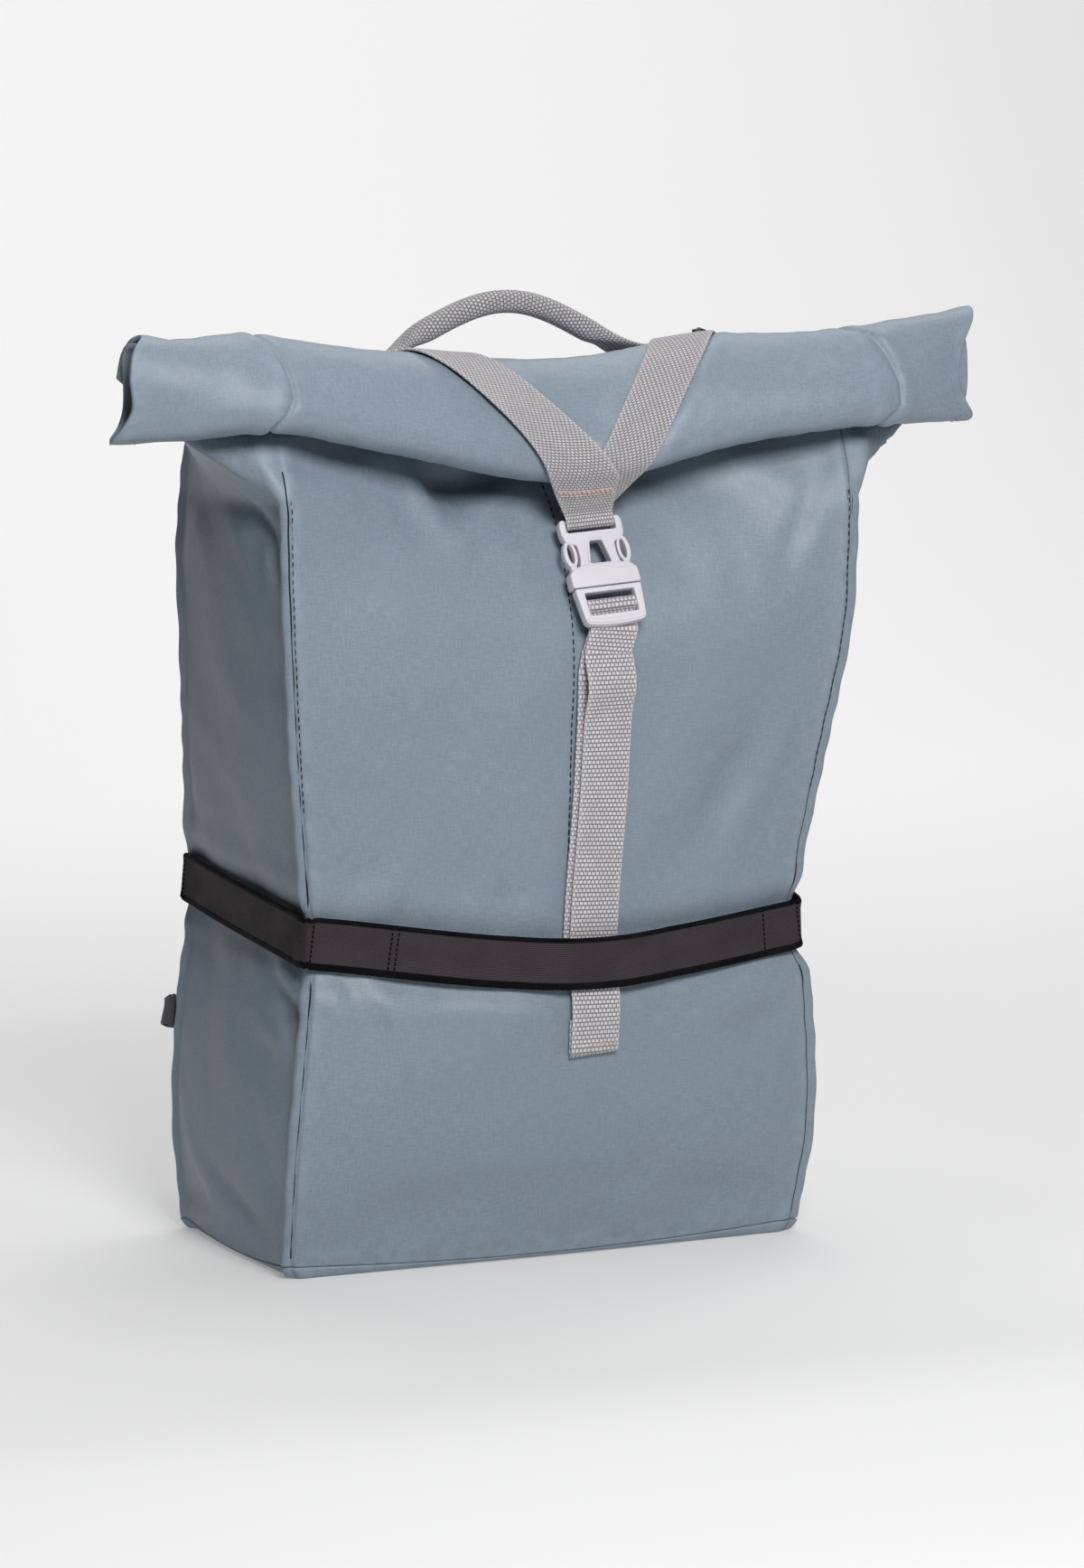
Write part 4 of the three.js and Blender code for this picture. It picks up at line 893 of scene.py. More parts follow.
CLOTH = tarpaulin("coated_cloth", (121, 134, 146))
TAPE = woven("grey_tape", (200, 196, 200), (2.5, 2.4), depth=0.7, shade=0.5)
SLANT_TAPE = woven("grey_fine_tape", (188, 184, 188), (2.4, 2.0), depth=0.7, shade=0.5)
HANDLE_TAPE = woven("grey_tube", (184, 180, 184), (2.4, 2.2), depth=0.8, shade=0.42)
BAND_CLOTH = elastic("black_elastic", BAND_WIDTH)
PAD_CLOTH = woven("dark_spacer", (66, 66, 70), (2.6, 2.2), depth=0.5, rough=0.85)
DARK_TAPE = woven("dark_tape", (78, 76, 80), (1.6, 1.2))
BUCKLE_PLASTIC = moulded("grey_acetal", (206, 203, 208), 0.45)
BEAD_PLASTIC = moulded("black_gloss", (22, 22, 25), 0.18, grain=0.01)
# Dark thread of the centre seam, and the painted shade line in the corner seams' grooves
DARK_THREAD_AND_GROOVE_SHADE = thread("dark_thread_and_groove_shade", (34, 40, 48), fuzz=0.05)
BLACK_THREAD = thread("black_thread", (8, 8, 10), fuzz=0.02)
PINK_THREAD = thread("pale_pink_thread", (208, 180, 172))
GREY_THREAD = thread("grey_thread", (176, 160, 160))
CLOTH_THREAD = thread("blue_grey_thread", (138, 138, 146))


def dress(piece, material, slot, *nodes):
    piece.data.materials.clear()
    piece.data.materials.append(material)
    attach(piece, "root")
    if nodes:
        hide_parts(*nodes)
    return piece


# Bag: one shell round the front, sides and back, with a rounded base and a turned-in rim
def seam_spaced(width, step):
    """Shares across a panel, close together near its two seams."""
    near = np.array([0, 0.7, 1.4, 2.2, 3.2, 4.5, 6, 8, 10.5]) / width
    count = int((width - 21) / step)
    middle = np.linspace(near[-1], 1 - near[-1], count + 1)[1:-1]
    return np.concatenate([near, middle, 1 - near[::-1]])


# Rings from the walls round to the flat base: how far inwards, and the drop as a share of the edge
BASE_RINGS = (
    (1.3, 0.0), (1.5, 0.06), (0.1, 0.16), (0.1, 0.26), (0.9, 0.4), (0.28 * BASE_ROUND, 0.62),
    (0.55 * BASE_ROUND, 0.88), (BASE_ROUND, 1), (2.4 * BASE_ROUND, 1), (7 * BASE_ROUND, 1),
)


def bag_shell():
    step = 3.6
    rows = np.concatenate([[0, 0.002, 0.005, 0.009], np.linspace(0.014, 1, 124)])
    parts, insides, wears, uvs, offset = [], [], [], [], 0.0
    lining = np.linspace(1, 0.9, 12)
    for panel, width in (("front", 320), ("right", 190), ("back", 300), ("left", 190)):
        _, low, high = PANELS[panel]
        shares = low + (high - low) * seam_spaced(width, step)
        h, share = np.meshgrid(rows, shares, indexing="ij")
        points, _ = cloth_at(panel, h, share)
        inner_h, inner_share = np.meshgrid(lining, shares, indexing="ij")
        inside, normal = cloth_at(panel, inner_h, inner_share)
        insides.append(inside - normal * 1.8)
        t = (share - low) / (high - low)
        edge = np.minimum(t, 1 - t) * width
        parts.append(points)
        wears.append(np.clip(bell(edge - 4, 3) * 0.8 + bell(points[..., 2] - 8, 10), 0, 1))
        uvs.append(np.stack([offset + t * width, points[..., 2]], axis=-1))
        offset += width + 13.7
    outer = np.concatenate(parts, axis=1)
    uv = np.concatenate(uvs, axis=1)
    wear = np.concatenate(wears, axis=1)
    centre = np.array([0, 8, 0])
    base_rows, base_uv, base_wear = [], [], []
    foot = outer[0]
    for inward, drop in BASE_RINGS:
        toward = unit(centre * [1, 1, 0] - foot * [1, 1, 0])
        ring = foot + toward * inward
        ring[:, 2] = np.maximum(foot[:, 2] * (1 - drop), 0.0)
        base_rows.append(ring)
        base_uv.append(uv[0] - [0, inward])
        base_wear.append(np.full(len(foot), 0.9 if drop < 1 else 0.3))
    inner = np.concatenate(insides, axis=1)
    lip = (outer[-1] + inner[0]) / 2 + [0, 0, 0.6]
    rim_rows = [lip, *inner]
    rim_uv = [uv[-1] + [0, 1 + 4 * k] for k in range(len(rim_rows))]
    grid = np.stack(base_rows[::-1] + list(outer) + rim_rows)
    uv = np.stack(base_uv[::-1] + list(uv) + rim_uv)
    wear = np.stack(base_wear[::-1] + list(wear) + [np.zeros(len(lip))] * len(rim_rows))
    count_rows, columns = grid.shape[:2]
    points = np.concatenate([grid.reshape(-1, 3), centre[None]])
    uv = np.concatenate([uv.reshape(-1, 2), [[0, 0]]])
    wear = np.concatenate([wear.ravel(), [0]])
    faces = grid_faces(count_rows, columns)
    faces += [(count_rows * columns, j + 1, j) for j in range(columns - 1)]
    return weld(new_object("bag_shell", points, faces, uv, wear), 1e-5)


dress(
    bag_shell(), CLOTH, "tarpaulin",
    "front_panel", "side_panel_left", "side_panel_right", "back_panel", "base_panel",
)


# Rolled top: one sheet from the back of the rim over the crest and round its spiral
def rolled_sheet():
    half = ROLL_LENGTH / 2
    near_end = np.array([1, 2.2, 4, 6])
    xs = np.unique(np.concatenate([
        np.linspace(-half, half, 150),
        np.arange(ROLL_SEAM - 12, ROLL_SEAM + 22, 0.9),
        -np.arange(ROLL_SEAM - 12, ROLL_SEAM + 12, 0.9),
        half - near_end,
        near_end - half,
    ]))
    stations = np.concatenate([
        np.linspace(0, TAIL_STEPS, 22)[:-1],
        np.linspace(TAIL_STEPS, TAIL_STEPS + SPIRAL_STEPS, 112),
    ])
    x, station = np.meshgrid(xs, stations)
    place = x / (ROLL_LENGTH / 2)
    middle, normal = sheet_frame(place, station)
    lift = roll_relief(x, station)
    end = np.clip((np.abs(x) - ROLL_SEAM) / (ROLL_LENGTH / 2 - ROLL_SEAM), 0, 1) ** 2
    degrees = sheet_degrees(station)
    reach = np.where(x < 0, along(ROLL_ENDS, degrees, "left"), along(ROLL_ENDS, degrees, "right"))
    middle[..., 0] += np.sign(x) * reach * end
    hem = bell(np.abs(x) - (ROLL_LENGTH / 2 - 3), 7) * 0.5
    outer = middle + normal * (ROLL_OUTER + lift + hem)[..., None]
    inner = middle - normal * (ROLL_INNER - lift)[..., None]
    uv = np.stack([x, run_at(station)], axis=-1)
    wear = np.clip(bell(np.abs(x) - ROLL_SEAM, 4) * 0.7 + bell(np.abs(x) - ROLL_LENGTH / 2, 8), 0, 1)
    return slab("rolled_top", outer, inner, uv, wear)


dress(rolled_sheet(), CLOTH, "tarpaulin", "rolltop_center", "rolltop_left", "rolltop_right")


# Buckle: its own directions, with the parting line as origin
def buckle_frame():
    parting = PARTING_HEIGHT * RIM_HEIGHT
    layers = 2 * WEBBING_THICKNESS + 4 * LAY_GAP
    origin = front_at(drift(parting), parting, layers)
    foot = front_at(drift(parting) + BUCKLE_SHIFT, parting - LADDER_HEIGHT, layers + BUCKLE_TILT)
    up = unit(origin - foot)
    right = unit(np.array([1.0, 0, 0]) - up * up[0])
    return origin, right, up, np.cross(right, up)


BUCKLE = buckle_frame()
BAR_UP = SLEEVE_HEIGHT + BRIDGE_HEIGHT + SLOT_HEIGHT + BAR / 2
LADDER_BAR_UP = -LADDER_HEIGHT / 2
LADDER_BACK = BUCKLE_THICKNESS * 0.45
LAYER = WEBBING_THICKNESS + 0.3
CLEAR_OF_BAR = BAR * 0.71 + 0.3 + WEBBING_THICKNESS / 2
MIDDLE = BUCKLE_THICKNESS / 2


def on_buckle(right, up, out):
    origin, x, y, z = BUCKLE
    right, up, out = np.broadcast_arrays(*(np.asarray(v, float) for v in (right, up, out)))
    return origin + right[..., None] * x + up[..., None] * y + out[..., None] * z


def crossing_webbing(hand):
    """From behind the crest, over the roll and down to the buckle's top bar."""
    top = LAYER + LAY_GAP if hand < 0 else 0
    stations = np.linspace(BEHIND, LEAVE, 60)
    share = (run_at(stations) - run_at(BEHIND)) / (run_at(LEAVE) - run_at(BEHIND))
    join = on_buckle(0, BAR_UP, MIDDLE)
    slant = (STRAP_SPREAD - STRAP_MEET - hand * join[0]) / (run_at(LEAVE) - run_at(BEHIND))
    half = WEBBING_WIDTH / 2 * math.hypot(1, slant)
    middle_x = hand * STRAP_SPREAD + (join[0] + hand * STRAP_MEET - hand * STRAP_SPREAD) * share
    x = middle_x[:, None] + 2 * half * EDGE_SHARES
    out = WEBBING_THICKNESS / 2 + LAY_GAP + top * np.clip(4 * share - 1.2, 0, 1)
    middle, normal = sheet_frame(x / (ROLL_LENGTH / 2), stations[:, None])
    centre = middle + normal * (ROLL_OUTER + out)[:, None, None]
    across = EDGE_SHARES * WEBBING_WIDTH
    if hand > 0:
        last, out_last = BAR_UP + BAR * 2.2, MIDDLE + CLEAR_OF_BAR - LAYER - LAY_GAP
    else:
        last, out_last = BAR_UP + BAR * 1.2, MIDDLE + CLEAR_OF_BAR
    goal = on_buckle(across, last, out_last)
    t = np.linspace(0, 1, 26)[1:, None, None]
    sag = np.sin(np.pi * t) * np.array([0, 0.5, -0.3])
    reach = centre[-1][None] + (goal[None] - centre[-1][None]) * t + sag
    facing = normal[-1][None] + (BUCKLE[3] - normal[-1][None]) * smooth(t, 0, 0.6)
    rows, normals = [centre, reach], [normal, unit(facing)]
    if hand < 0:
        for turn in np.linspace(0, 180, 13):
            angle = math.radians(turn)
            up = BAR_UP - math.sin(angle) * CLEAR_OF_BAR
            rows.append(on_buckle(across, up, MIDDLE + math.cos(angle) * CLEAR_OF_BAR)[None])
            direction = -math.sin(angle) * BUCKLE[2] + math.cos(angle) * BUCKLE[3]
            normals.append(np.broadcast_to(direction, (1, len(across), 3)))
        rows.append(on_buckle(across, BAR_UP + BAR, MIDDLE - CLEAR_OF_BAR)[None])
        normals.append(np.broadcast_to(-BUCKLE[3], (1, len(across), 3)))
    centre, normal = np.concatenate(rows), np.concatenate(normals)
    name = "v_webbing_left" if hand < 0 else "v_webbing_right"
    return webbing(name, centre, normal, WEBBING_THICKNESS), centre, normal


left_tape, left_centre, left_normal = crossing_webbing(-1)
right_tape = crossing_webbing(1)[0]
dress(left_tape, SLANT_TAPE, "webbing", "v_strap_left")
dress(right_tape, SLANT_TAPE, "webbing", "v_strap_right")


def tape_along(name, points, width, normal, breadth, thickness=WEBBING_THICKNESS, heights=EDGE_HEIGHTS):
    """Woven tape along its middle line."""
    centre = points[:, None] + width[:, None] * (EDGE_SHARES * breadth)[None, :, None]
    normals = np.broadcast_to(normal[:, None], centre.shape).copy()
    return webbing(name, centre, normals, thickness, heights)


def from_stations(points, across):
    """Width and normal directions along a tape's middle line, from a direction across it."""
    before = np.concatenate([points[:1], points[:-1]])
    after = np.concatenate([points[1:], points[-1:]])
    tangent = unit(after - before)
    normal = unit(np.cross(tangent, across))
    width = np.cross(normal, tangent)
    return width, normal


def closure_tape():
    low = WEBBING_THICKNESS / 2 + LAY_GAP
    high = low + WEBBING_THICKNESS + LAY_GAP
    anchor, end = ANCHOR_HEIGHT * RIM_HEIGHT, FREE_END_HEIGHT * RIM_HEIGHT
    leave = PARTING_HEIGHT * RIM_HEIGHT - LADDER_HEIGHT - BEND_DROP
    t = np.linspace(0, 1, 60)
    z = anchor + (leave - anchor) * t
    rise = [front_at(drift(z) - LOWER_SHIFT * np.clip(12 * (1 - t), 0, 1), z, low)]
    behind = LADDER_BACK - 0.3 - WEBBING_THICKNESS / 2
    wrap = [
        on_buckle(0, -LADDER_HEIGHT - BAR, behind - LAYER - LAY_GAP - 1),
        on_buckle(0, -LADDER_HEIGHT, behind - LAYER - LAY_GAP),
        on_buckle(0, LADDER_BAR_UP - BAR, MIDDLE - CLEAR_OF_BAR - BAR / 3),
    ]
    for turn in np.linspace(180, -45, 16):
        angle = math.radians(turn)
        up = LADDER_BAR_UP + CLEAR_OF_BAR * math.sin(angle)
        wrap.append(on_buckle(0, up, MIDDLE + CLEAR_OF_BAR * math.cos(angle)))
    wrap += [
        on_buckle(0, LADDER_BAR_UP - CLEAR_OF_BAR, MIDDLE - BAR / 4),
        on_buckle(0, LADDER_BAR_UP - CLEAR_OF_BAR - BAR, behind),
        on_buckle(0, -LADDER_HEIGHT, behind),
        on_buckle(0, -LADDER_HEIGHT - BAR, behind - 1),
    ]
    t = np.linspace(0, 1, 80)
    z = leave + (end - leave) * t
    lift = high + BEND_RISE * bell(z - leave + BEND_DROP * 1.6, BEND_DROP)
    fall = front_at(drift(z), z, lift)
    hem = WEBBING_THICKNESS / 2 + 0.3
    fold = np.stack([
        front_at(drift(end), end - hem * 1.6, high - hem),
        front_at(drift(end), end, high - 2 * hem),
        front_at(drift(end), end + HEM, high - 2 * hem),
    ])
    points = np.concatenate([rise[0], np.stack(wrap), fall, fold])
    width, normal = from_stations(points, BUCKLE[1])
    return tape_along("closure_webbing", points, width, normal, WEBBING_WIDTH)


dress(closure_tape(), TAPE, "webbing", "closure_strap")


# Elastic band
def band_body(place, z):
    h = share_of_height(z)
    left = side_point(h, np.clip(1 - place * 4, 0, 1), -1)
    right = side_point(h, np.clip(place * 4 - 3, 0, 1), 1)
    front = front_point(h, np.clip(place * 4 - 2, -1, 1))
    return np.where((place < 0.25)[..., None], left, np.where((place > 0.75)[..., None], right, front))


def band_rows():
    near = np.array([0.0, 0.0012, 0.003, 0.006, 0.01])
    places = np.unique(np.concatenate([
        np.linspace(0.003, 0.997, 170), 0.25 + near, 0.25 - near, 0.75 + near, 0.75 - near,
    ]))
    heights = along(BAND, places, "height") * RIM_HEIGHT + 7 * bell(places - 0.8, 0.035)
    foot = band_body(places, heights)
    foot[:, 2] = 0
    before = np.concatenate([foot[:1], foot[:-1]])
    after = np.concatenate([foot[1:], foot[-1:]])
    tangent = unit(unit(after - foot + 1e-9) + unit(foot - before + 1e-9))
    normal = np.stack([tangent[:, 1], -tangent[:, 0], np.zeros(len(tangent))], axis=1)
    for _ in range(6):
        normal[1:-1] = unit(normal[:-2] + 2 * normal[1:-1] + normal[2:])
    reach = np.stack([
        ((band_body(places, heights + share * BAND_WIDTH) * [1, 1, 0] - foot) * normal).sum(axis=1)
        for share in np.linspace(-0.5, 0.5, 7)
    ]).max(axis=0)
    on_front = (places > 0.25) & (places < 0.75)
    near_tape = np.clip(1.6 - np.abs(foot[:, 0] - drift(heights)) / WEBBING_WIDTH, 0, 1)
    over = np.where(on_front, near_tape * (2 * WEBBING_THICKNESS + 2 * LAY_GAP), 0)
    gather = sum(bell(places - corner, 0.006) for corner in (0.243, 0.262, 0.738, 0.757))
    out = np.maximum(reach, 0) + BAND_GAP + BAND_THICKNESS / 2 + over
    out = out + 0.9 * gather + 3.5 * bell(places - 0.79, 0.03)
    middle = foot + normal * out[:, None]
    middle[:, 2] = heights
    slope = np.gradient(heights) / np.maximum(np.linalg.norm(np.gradient(foot, axis=0), axis=1), 1e-6)
    run = unit(np.stack([tangent[:, 0], tangent[:, 1], slope], axis=1))
    across = -np.cross(normal, run)
    return places, middle, across, normal


BAND_HEIGHTS = np.array([0.0, 1.1, 1.7, 1.5, 0.9, 0.9, 0.9, 0.9, 0.9, 1.5, 1.7, 1.1, 0.0])
band_places, band_middle, band_across, band_normal = band_rows()
band = tape_along(
    "elastic_band_woven", band_middle, band_across, band_normal, BAND_WIDTH, BAND_THICKNESS, BAND_HEIGHTS
)
dress(band, BAND_CLOTH, "elastic", "elastic_band")


# Buckle parts, from outlines with rounded edges
def outline_solid(name, outline, holes, low, high, round_by):
    """Plate with rounded edges from an outline in the buckle's frame, between two heights."""
    curve = bpy.data.curves.new(name, "CURVE")
    curve.dimensions = "2D"
    curve.fill_mode = "BOTH"
    curve.extrude = (high - low) / 2 - round_by
    curve.bevel_depth = round_by
    curve.bevel_resolution = 3
    curve.offset = -round_by
    for loop in [outline, *holes]:
        line = curve.splines.new("POLY")
        line.points.add(len(loop) - 1)
        line.use_cyclic_u = True
        for k, (x, y) in enumerate(loop):
            line.points[k].co = (x, y, 0, 1)
    flat = bpy.data.objects.new(name, curve)
    bpy.context.scene.collection.objects.link(flat)
    mesh = bpy.data.meshes.new_from_object(flat.evaluated_get(bpy.context.evaluated_depsgraph_get()))
    bpy.data.objects.remove(flat)
    local = np.array([v.co for v in mesh.vertices])
    faces = [tuple(p.vertices) for p in mesh.polygons]
    bpy.data.meshes.remove(mesh)
    return on_buckle(local[:, 0], local[:, 1], local[:, 2] + (low + high) / 2), faces


def rounded(points, radius=1.2, steps=5):
    """Outline with its corners rounded."""
    loop = []
    points = np.array(points, float)
    for k in range(len(points)):
        here, before, after = points[k], points[k - 1], points[(k + 1) % len(points)]
        back, ahead = before - here, after - here
        reach = min(radius, 0.45 * np.linalg.norm(back), 0.45 * np.linalg.norm(ahead))
        a, b = here + unit(back) * reach, here + unit(ahead) * reach
        for t in np.linspace(0, 1, steps):
            loop.append(((1 - t) ** 2 * a + 2 * t * (1 - t) * here + t**2 * b).tolist())
    return loop


def both_sides(points):
    return list(points) + [(-x, y) for x, y in reversed(points)]


def ellipse(cx, cy, rx, ry, count=28):
    turns = [2 * math.pi * k / count for k in range(count)]
    return [(cx + rx * math.cos(turn), cy + ry * math.sin(turn)) for turn in turns]


def bar_solid(half, up, out, radius_up, radius_out):
    sides = 16
    angle = np.linspace(0, 2 * np.pi, sides + 1)[:-1]
    ups, outs = up + radius_up * np.cos(angle), out + radius_out * np.sin(angle)
    points = np.concatenate([on_buckle(np.full(sides, x), ups, outs) for x in (-half, half)])
    faces = [(k, (k + 1) % sides, sides + (k + 1) % sides, sides + k) for k in range(sides)]
    return points, faces + [tuple(range(sides))[::-1], tuple(range(sides, 2 * sides))]


def joined(name, solids):
    points, faces = [], []
    for part, part_faces in solids:
        start = sum(len(p) for p in points)
        points.append(part)
        faces += [tuple(start + k for k in face) for face in part_faces]
    made = new_object(name, np.concatenate(points), faces)
    weld(made, 1e-7)
    made.data.set_sharp_from_angle(angle=math.radians(40))
    return made


HALF = BUCKLE_WIDTH / 2
INNER = WEBBING_WIDTH / 2 + 0.35
SHOULDER = SLEEVE_HEIGHT + BRIDGE_HEIGHT
BRIDGE_HALF = 12.0


def tapered(low_half, low, high_half, top):
    return [(-low_half, low), (low_half, low), (high_half, top), (-high_half, top)]


def upper_buckle():
    sleeve = rounded(both_sides([
        (HALF, 0.3), (HALF, SLEEVE_HEIGHT - 3.4), (HALF - 3, SLEEVE_HEIGHT - 0.6),
        (BRIDGE_HALF, SLEEVE_HEIGHT + 1),
    ]))
    bridge = rounded(both_sides([
        (BRIDGE_HALF + 1, SLEEVE_HEIGHT - 1), (BRIDGE_HALF - 0.6, SLEEVE_HEIGHT + 6),
        (BRIDGE_HALF - 0.4, SHOULDER - 3), (HALF - 3.2, SHOULDER - 0.6), (HALF - 1.8, SHOULDER + 3),
        (HALF - 1.6, BAR_UP - 1), (HALF - 3, BAR_UP + 1.6),
        (INNER + 0.1, BAR_UP + 1.8), (INNER, SHOULDER + 4.6),
    ]), 1.4)
    window = tapered(6.6, SLEEVE_HEIGHT + 1.6, 3.8, SHOULDER - 1.4)
    rim = tapered(8.0, SLEEVE_HEIGHT + 0.4, 4.9, SHOULDER - 0.1)
    return joined("buckle_upper_half", [
        outline_solid("sleeve", sleeve, [], 0.2, BUCKLE_THICKNESS, 0.9),
        outline_solid("bridge", bridge, [rounded(window, 1.0)], 1.4, BUCKLE_THICKNESS - 1.3, 0.7),
        outline_solid("rim", rounded(rim, 1.2), [rounded(window, 1.0)], 3.0, BUCKLE_THICKNESS - 0.5, 0.5),
        bar_solid(INNER + 0.5, BAR_UP, MIDDLE, BAR / 2, BAR / 2),
    ])


def lower_buckle():
    low_edge = np.linspace(-HALF + 3.4, HALF - 3.4, 13)
    smile = [(x, -LADDER_HEIGHT - 1.6 + 2.2 * (x / HALF) ** 2) for x in low_edge]
    frame_line = [
        (HALF - 0.5, -0.35), (-HALF + 0.5, -0.35), (-HALF + 2.2, -LADDER_HEIGHT + 2.4), *smile,
        (HALF - 2.2, -LADDER_HEIGHT + 2.4),
    ]
    window = tapered(INNER, -BAR, INNER - 0.3, -LADDER_HEIGHT + 4.8)
    lip = [(x, y + 1.0) for x, y in smile] + [(x, y + 3.6) for x, y in reversed(smile)]
    solids = [
        outline_solid(
            "ladder", rounded(frame_line, 1.6), [rounded(window, 1.0)],
            LADDER_BACK - 1.4, BUCKLE_THICKNESS, 0.8,
        ),
        outline_solid("lip", rounded(lip, 0.8, 3), [], 4.0, BUCKLE_THICKNESS + 0.7, 0.7),
        bar_solid(INNER + 0.6, LADDER_BAR_UP, MIDDLE, BAR / 2, BAR / 2),
    ]
    for hand in (-1, 1):
        loop = ellipse(hand * (HALF - 4.4), SLEEVE_HEIGHT + 8.4, 4.0, 7.9)
        hole = ellipse(hand * (HALF - 4.7), SLEEVE_HEIGHT + 8.6, 1.8, 5.6)
        stem = [
            (hand * (HALF - inward), SLEEVE_HEIGHT + up)
            for inward, up in ((6.6, -3), (2.8, -3), (2.4, 3), (6.4, 3))
        ]
        solids.append(outline_solid("catch", loop, [hole], 1.8, BUCKLE_THICKNESS - 1.7, 0.7))
        solids.append(outline_solid("stem", rounded(stem, 0.6), [], 2.0, BUCKLE_THICKNESS - 1.9, 0.6))
    return joined("buckle_lower_half", solids)


dress(upper_buckle(), BUCKLE_PLASTIC, "buckle", "buckle_upper")
dress(lower_buckle(), BUCKLE_PLASTIC, "buckle", "buckle_lower")


# Carry handle: flattened ends on the sheet behind the crest, a padded arch between them
def on_roll(x, run, out):
    """Point off the sheet at a run in millimetres from the crest, forwards positive, and its normal."""
    place = np.asarray(x, float) / (ROLL_LENGTH / 2)
    fine = np.linspace(0, TAIL_STEPS + SPIRAL_STEPS, 500)
    line = sheet_line(np.broadcast_to(place[..., None], place.shape + fine.shape), fine)
    steps = np.linalg.norm(np.diff(line, axis=-2), axis=-1)
    walk = np.concatenate([np.zeros(place.shape + (1,)), np.cumsum(steps, axis=-1)], axis=-1)
    points, normals = [], []
    for k, at in enumerate(np.atleast_1d(place)):
        here = walk if place.ndim == 0 else walk[k]
        crest = np.interp(CREST, fine, here)
        station = np.interp(crest + run, here, fine)
        point, normal = sheet_frame(np.array(at), np.array(station))
        points.append(point)
        normals.append(normal)
    points, normals = np.array(points), np.array(normals)
    lifted = points + normals * (ROLL_OUTER + np.broadcast_to(out, len(points)))[:, None]
    return lifted, normals


def carry_handle():
    s = np.linspace(-1, 1, 81)
    free = 1 - HANDLE_FOOT / (HANDLE_SPAN / 2)
    arch = np.clip((free - np.abs(s)) / free, 0, 1)
    rise = np.sin(np.pi * arch / 2) ** HANDLE_FULLNESS
    steep = -np.sign(s) * HANDLE_FULLNESS * np.pi / 2 * np.sin(np.pi * arch / 2) ** (HANDLE_FULLNESS - 1)
    steep = steep * np.cos(np.pi * arch / 2) / free
    full = np.clip(2.2 * rise, 0, 1)
    full = full * full * (3 - 2 * full)
    half = WEBBING_THICKNESS * (1 - full) + HANDLE_THICKNESS / 2 * full
    seat, normal = on_roll(s * HANDLE_SPAN / 2, -HANDLE_BEHIND, half + 0.3)
    foot, _ = on_roll(np.array([HANDLE_SPAN / 2]), -HANDLE_BEHIND, 0.0)
    normal = unit(normal * (1 - full[:, None]) + np.array([0, 0, 1]) * full[:, None])
    slope = unit(stack(np.full(len(s), HANDLE_SPAN / 2), np.zeros(len(s)), HANDLE_RISE * steep))
    wide = unit(np.cross(normal, slope))
    centre = np.stack([
        seat[:, 0],
        seat[:, 1] * (1 - full) + foot[0, 1] * full,
        seat[:, 2] * (1 - full) + foot[0, 2] * full + (HANDLE_RISE - HANDLE_SAG * full) * rise,
    ], axis=1)
    thick = unit(np.cross(slope, wide)) * half[:, None]
    breadth = WEBBING_WIDTH / 2 * (1 - full) + (HANDLE_THICKNESS / 2 + 1) * full
    return tube("carry_handle_tube", centre, wide * breadth[:, None], thick, 28, 0.8)


dress(carry_handle(), HANDLE_TAPE, "webbing", "carry_handle")


# Back: shoulder pads and their lower webbings
def shoulder_pad(hand):
    t = np.linspace(0, 1, 70)
    z = PAD_TOP * RIM_HEIGHT - t * PAD_LENGTH
    x = hand * (PAD_SPREAD * 0.42 + (PAD_SPREAD - PAD_SPREAD * 0.42) * t**1.4)
    h = share_of_height(z)
    skin = back_point(h, x / half_width(h))[:, 1]
    bow = ARM_GAP * np.sin(np.pi * np.clip(t * 1.02, 0, 1)) ** 0.8
    taper = 0.5 + 0.5 * np.clip(5 * np.minimum(t, 1 - t) + 0.15, 0, 1)
    centre = stack(x, skin + bow + PAD_THICKNESS * taper / 2 + BACK_GAP + LAY_GAP + WEBBING_THICKNESS, z)
    width = PAD_WIDTH / 2 * (0.75 + 0.25 * np.clip(6 * (1 - t), 0, 1))
    across = np.array([0, 0.12, 0.24, 0.36, 0.48, 0.6, 0.7, 0.78, 0.84, 0.88, 0.91, 0.94, 0.97, 0.99, 1.0])
    crown = np.array([1.0, 1, 0.99, 0.98, 0.96, 0.92, 0.86, 0.76, 0.62, 0.46, 0.36, 0.42, 0.4, 0.28, 0.0])
    shares = np.concatenate([-across[::-1], across[1:]])
    heights = np.concatenate([crown[::-1], crown[1:]])
    quilt = 1 - 0.08 * (0.5 + 0.5 * np.cos(2 * np.pi * t * 6))
    rise = PAD_THICKNESS / 2 * taper[:, None] * heights[None] * quilt[:, None]
    top = centre[:, None] + stack(shares[None] * width[:, None], rise, 0.0)
    under = top.copy()
    under[..., 1] = 2 * centre[:, None, 1] - top[..., 1]
    uv = np.stack(np.broadcast_arrays(shares[None] * PAD_WIDTH / 2, (t * PAD_LENGTH)[:, None]), axis=-1)
    wear = np.broadcast_to(smooth(np.abs(shares), 0.9, 0.97)[None], top.shape[:2])
    side = "left" if hand < 0 else "right"
    pad = slab(f"shoulder_pad_{side}_foam", top, under, uv, wear)
    dress(pad, PAD_CLOTH, "padding", f"shoulder_pad_{side}")
    return pad


# Small loop at the end of each lower webbing: outwards, backwards and up from its anchor
LOWER_LOOP = (
    (3, 2, -0.4), (5, 4, -1), (6.4, 6, -1.5), (6.5, 8, -2),
    (5.6, 10, -2), (4, 11, -2), (0.5, 11, -1.5), (-3, 10, -1),
)


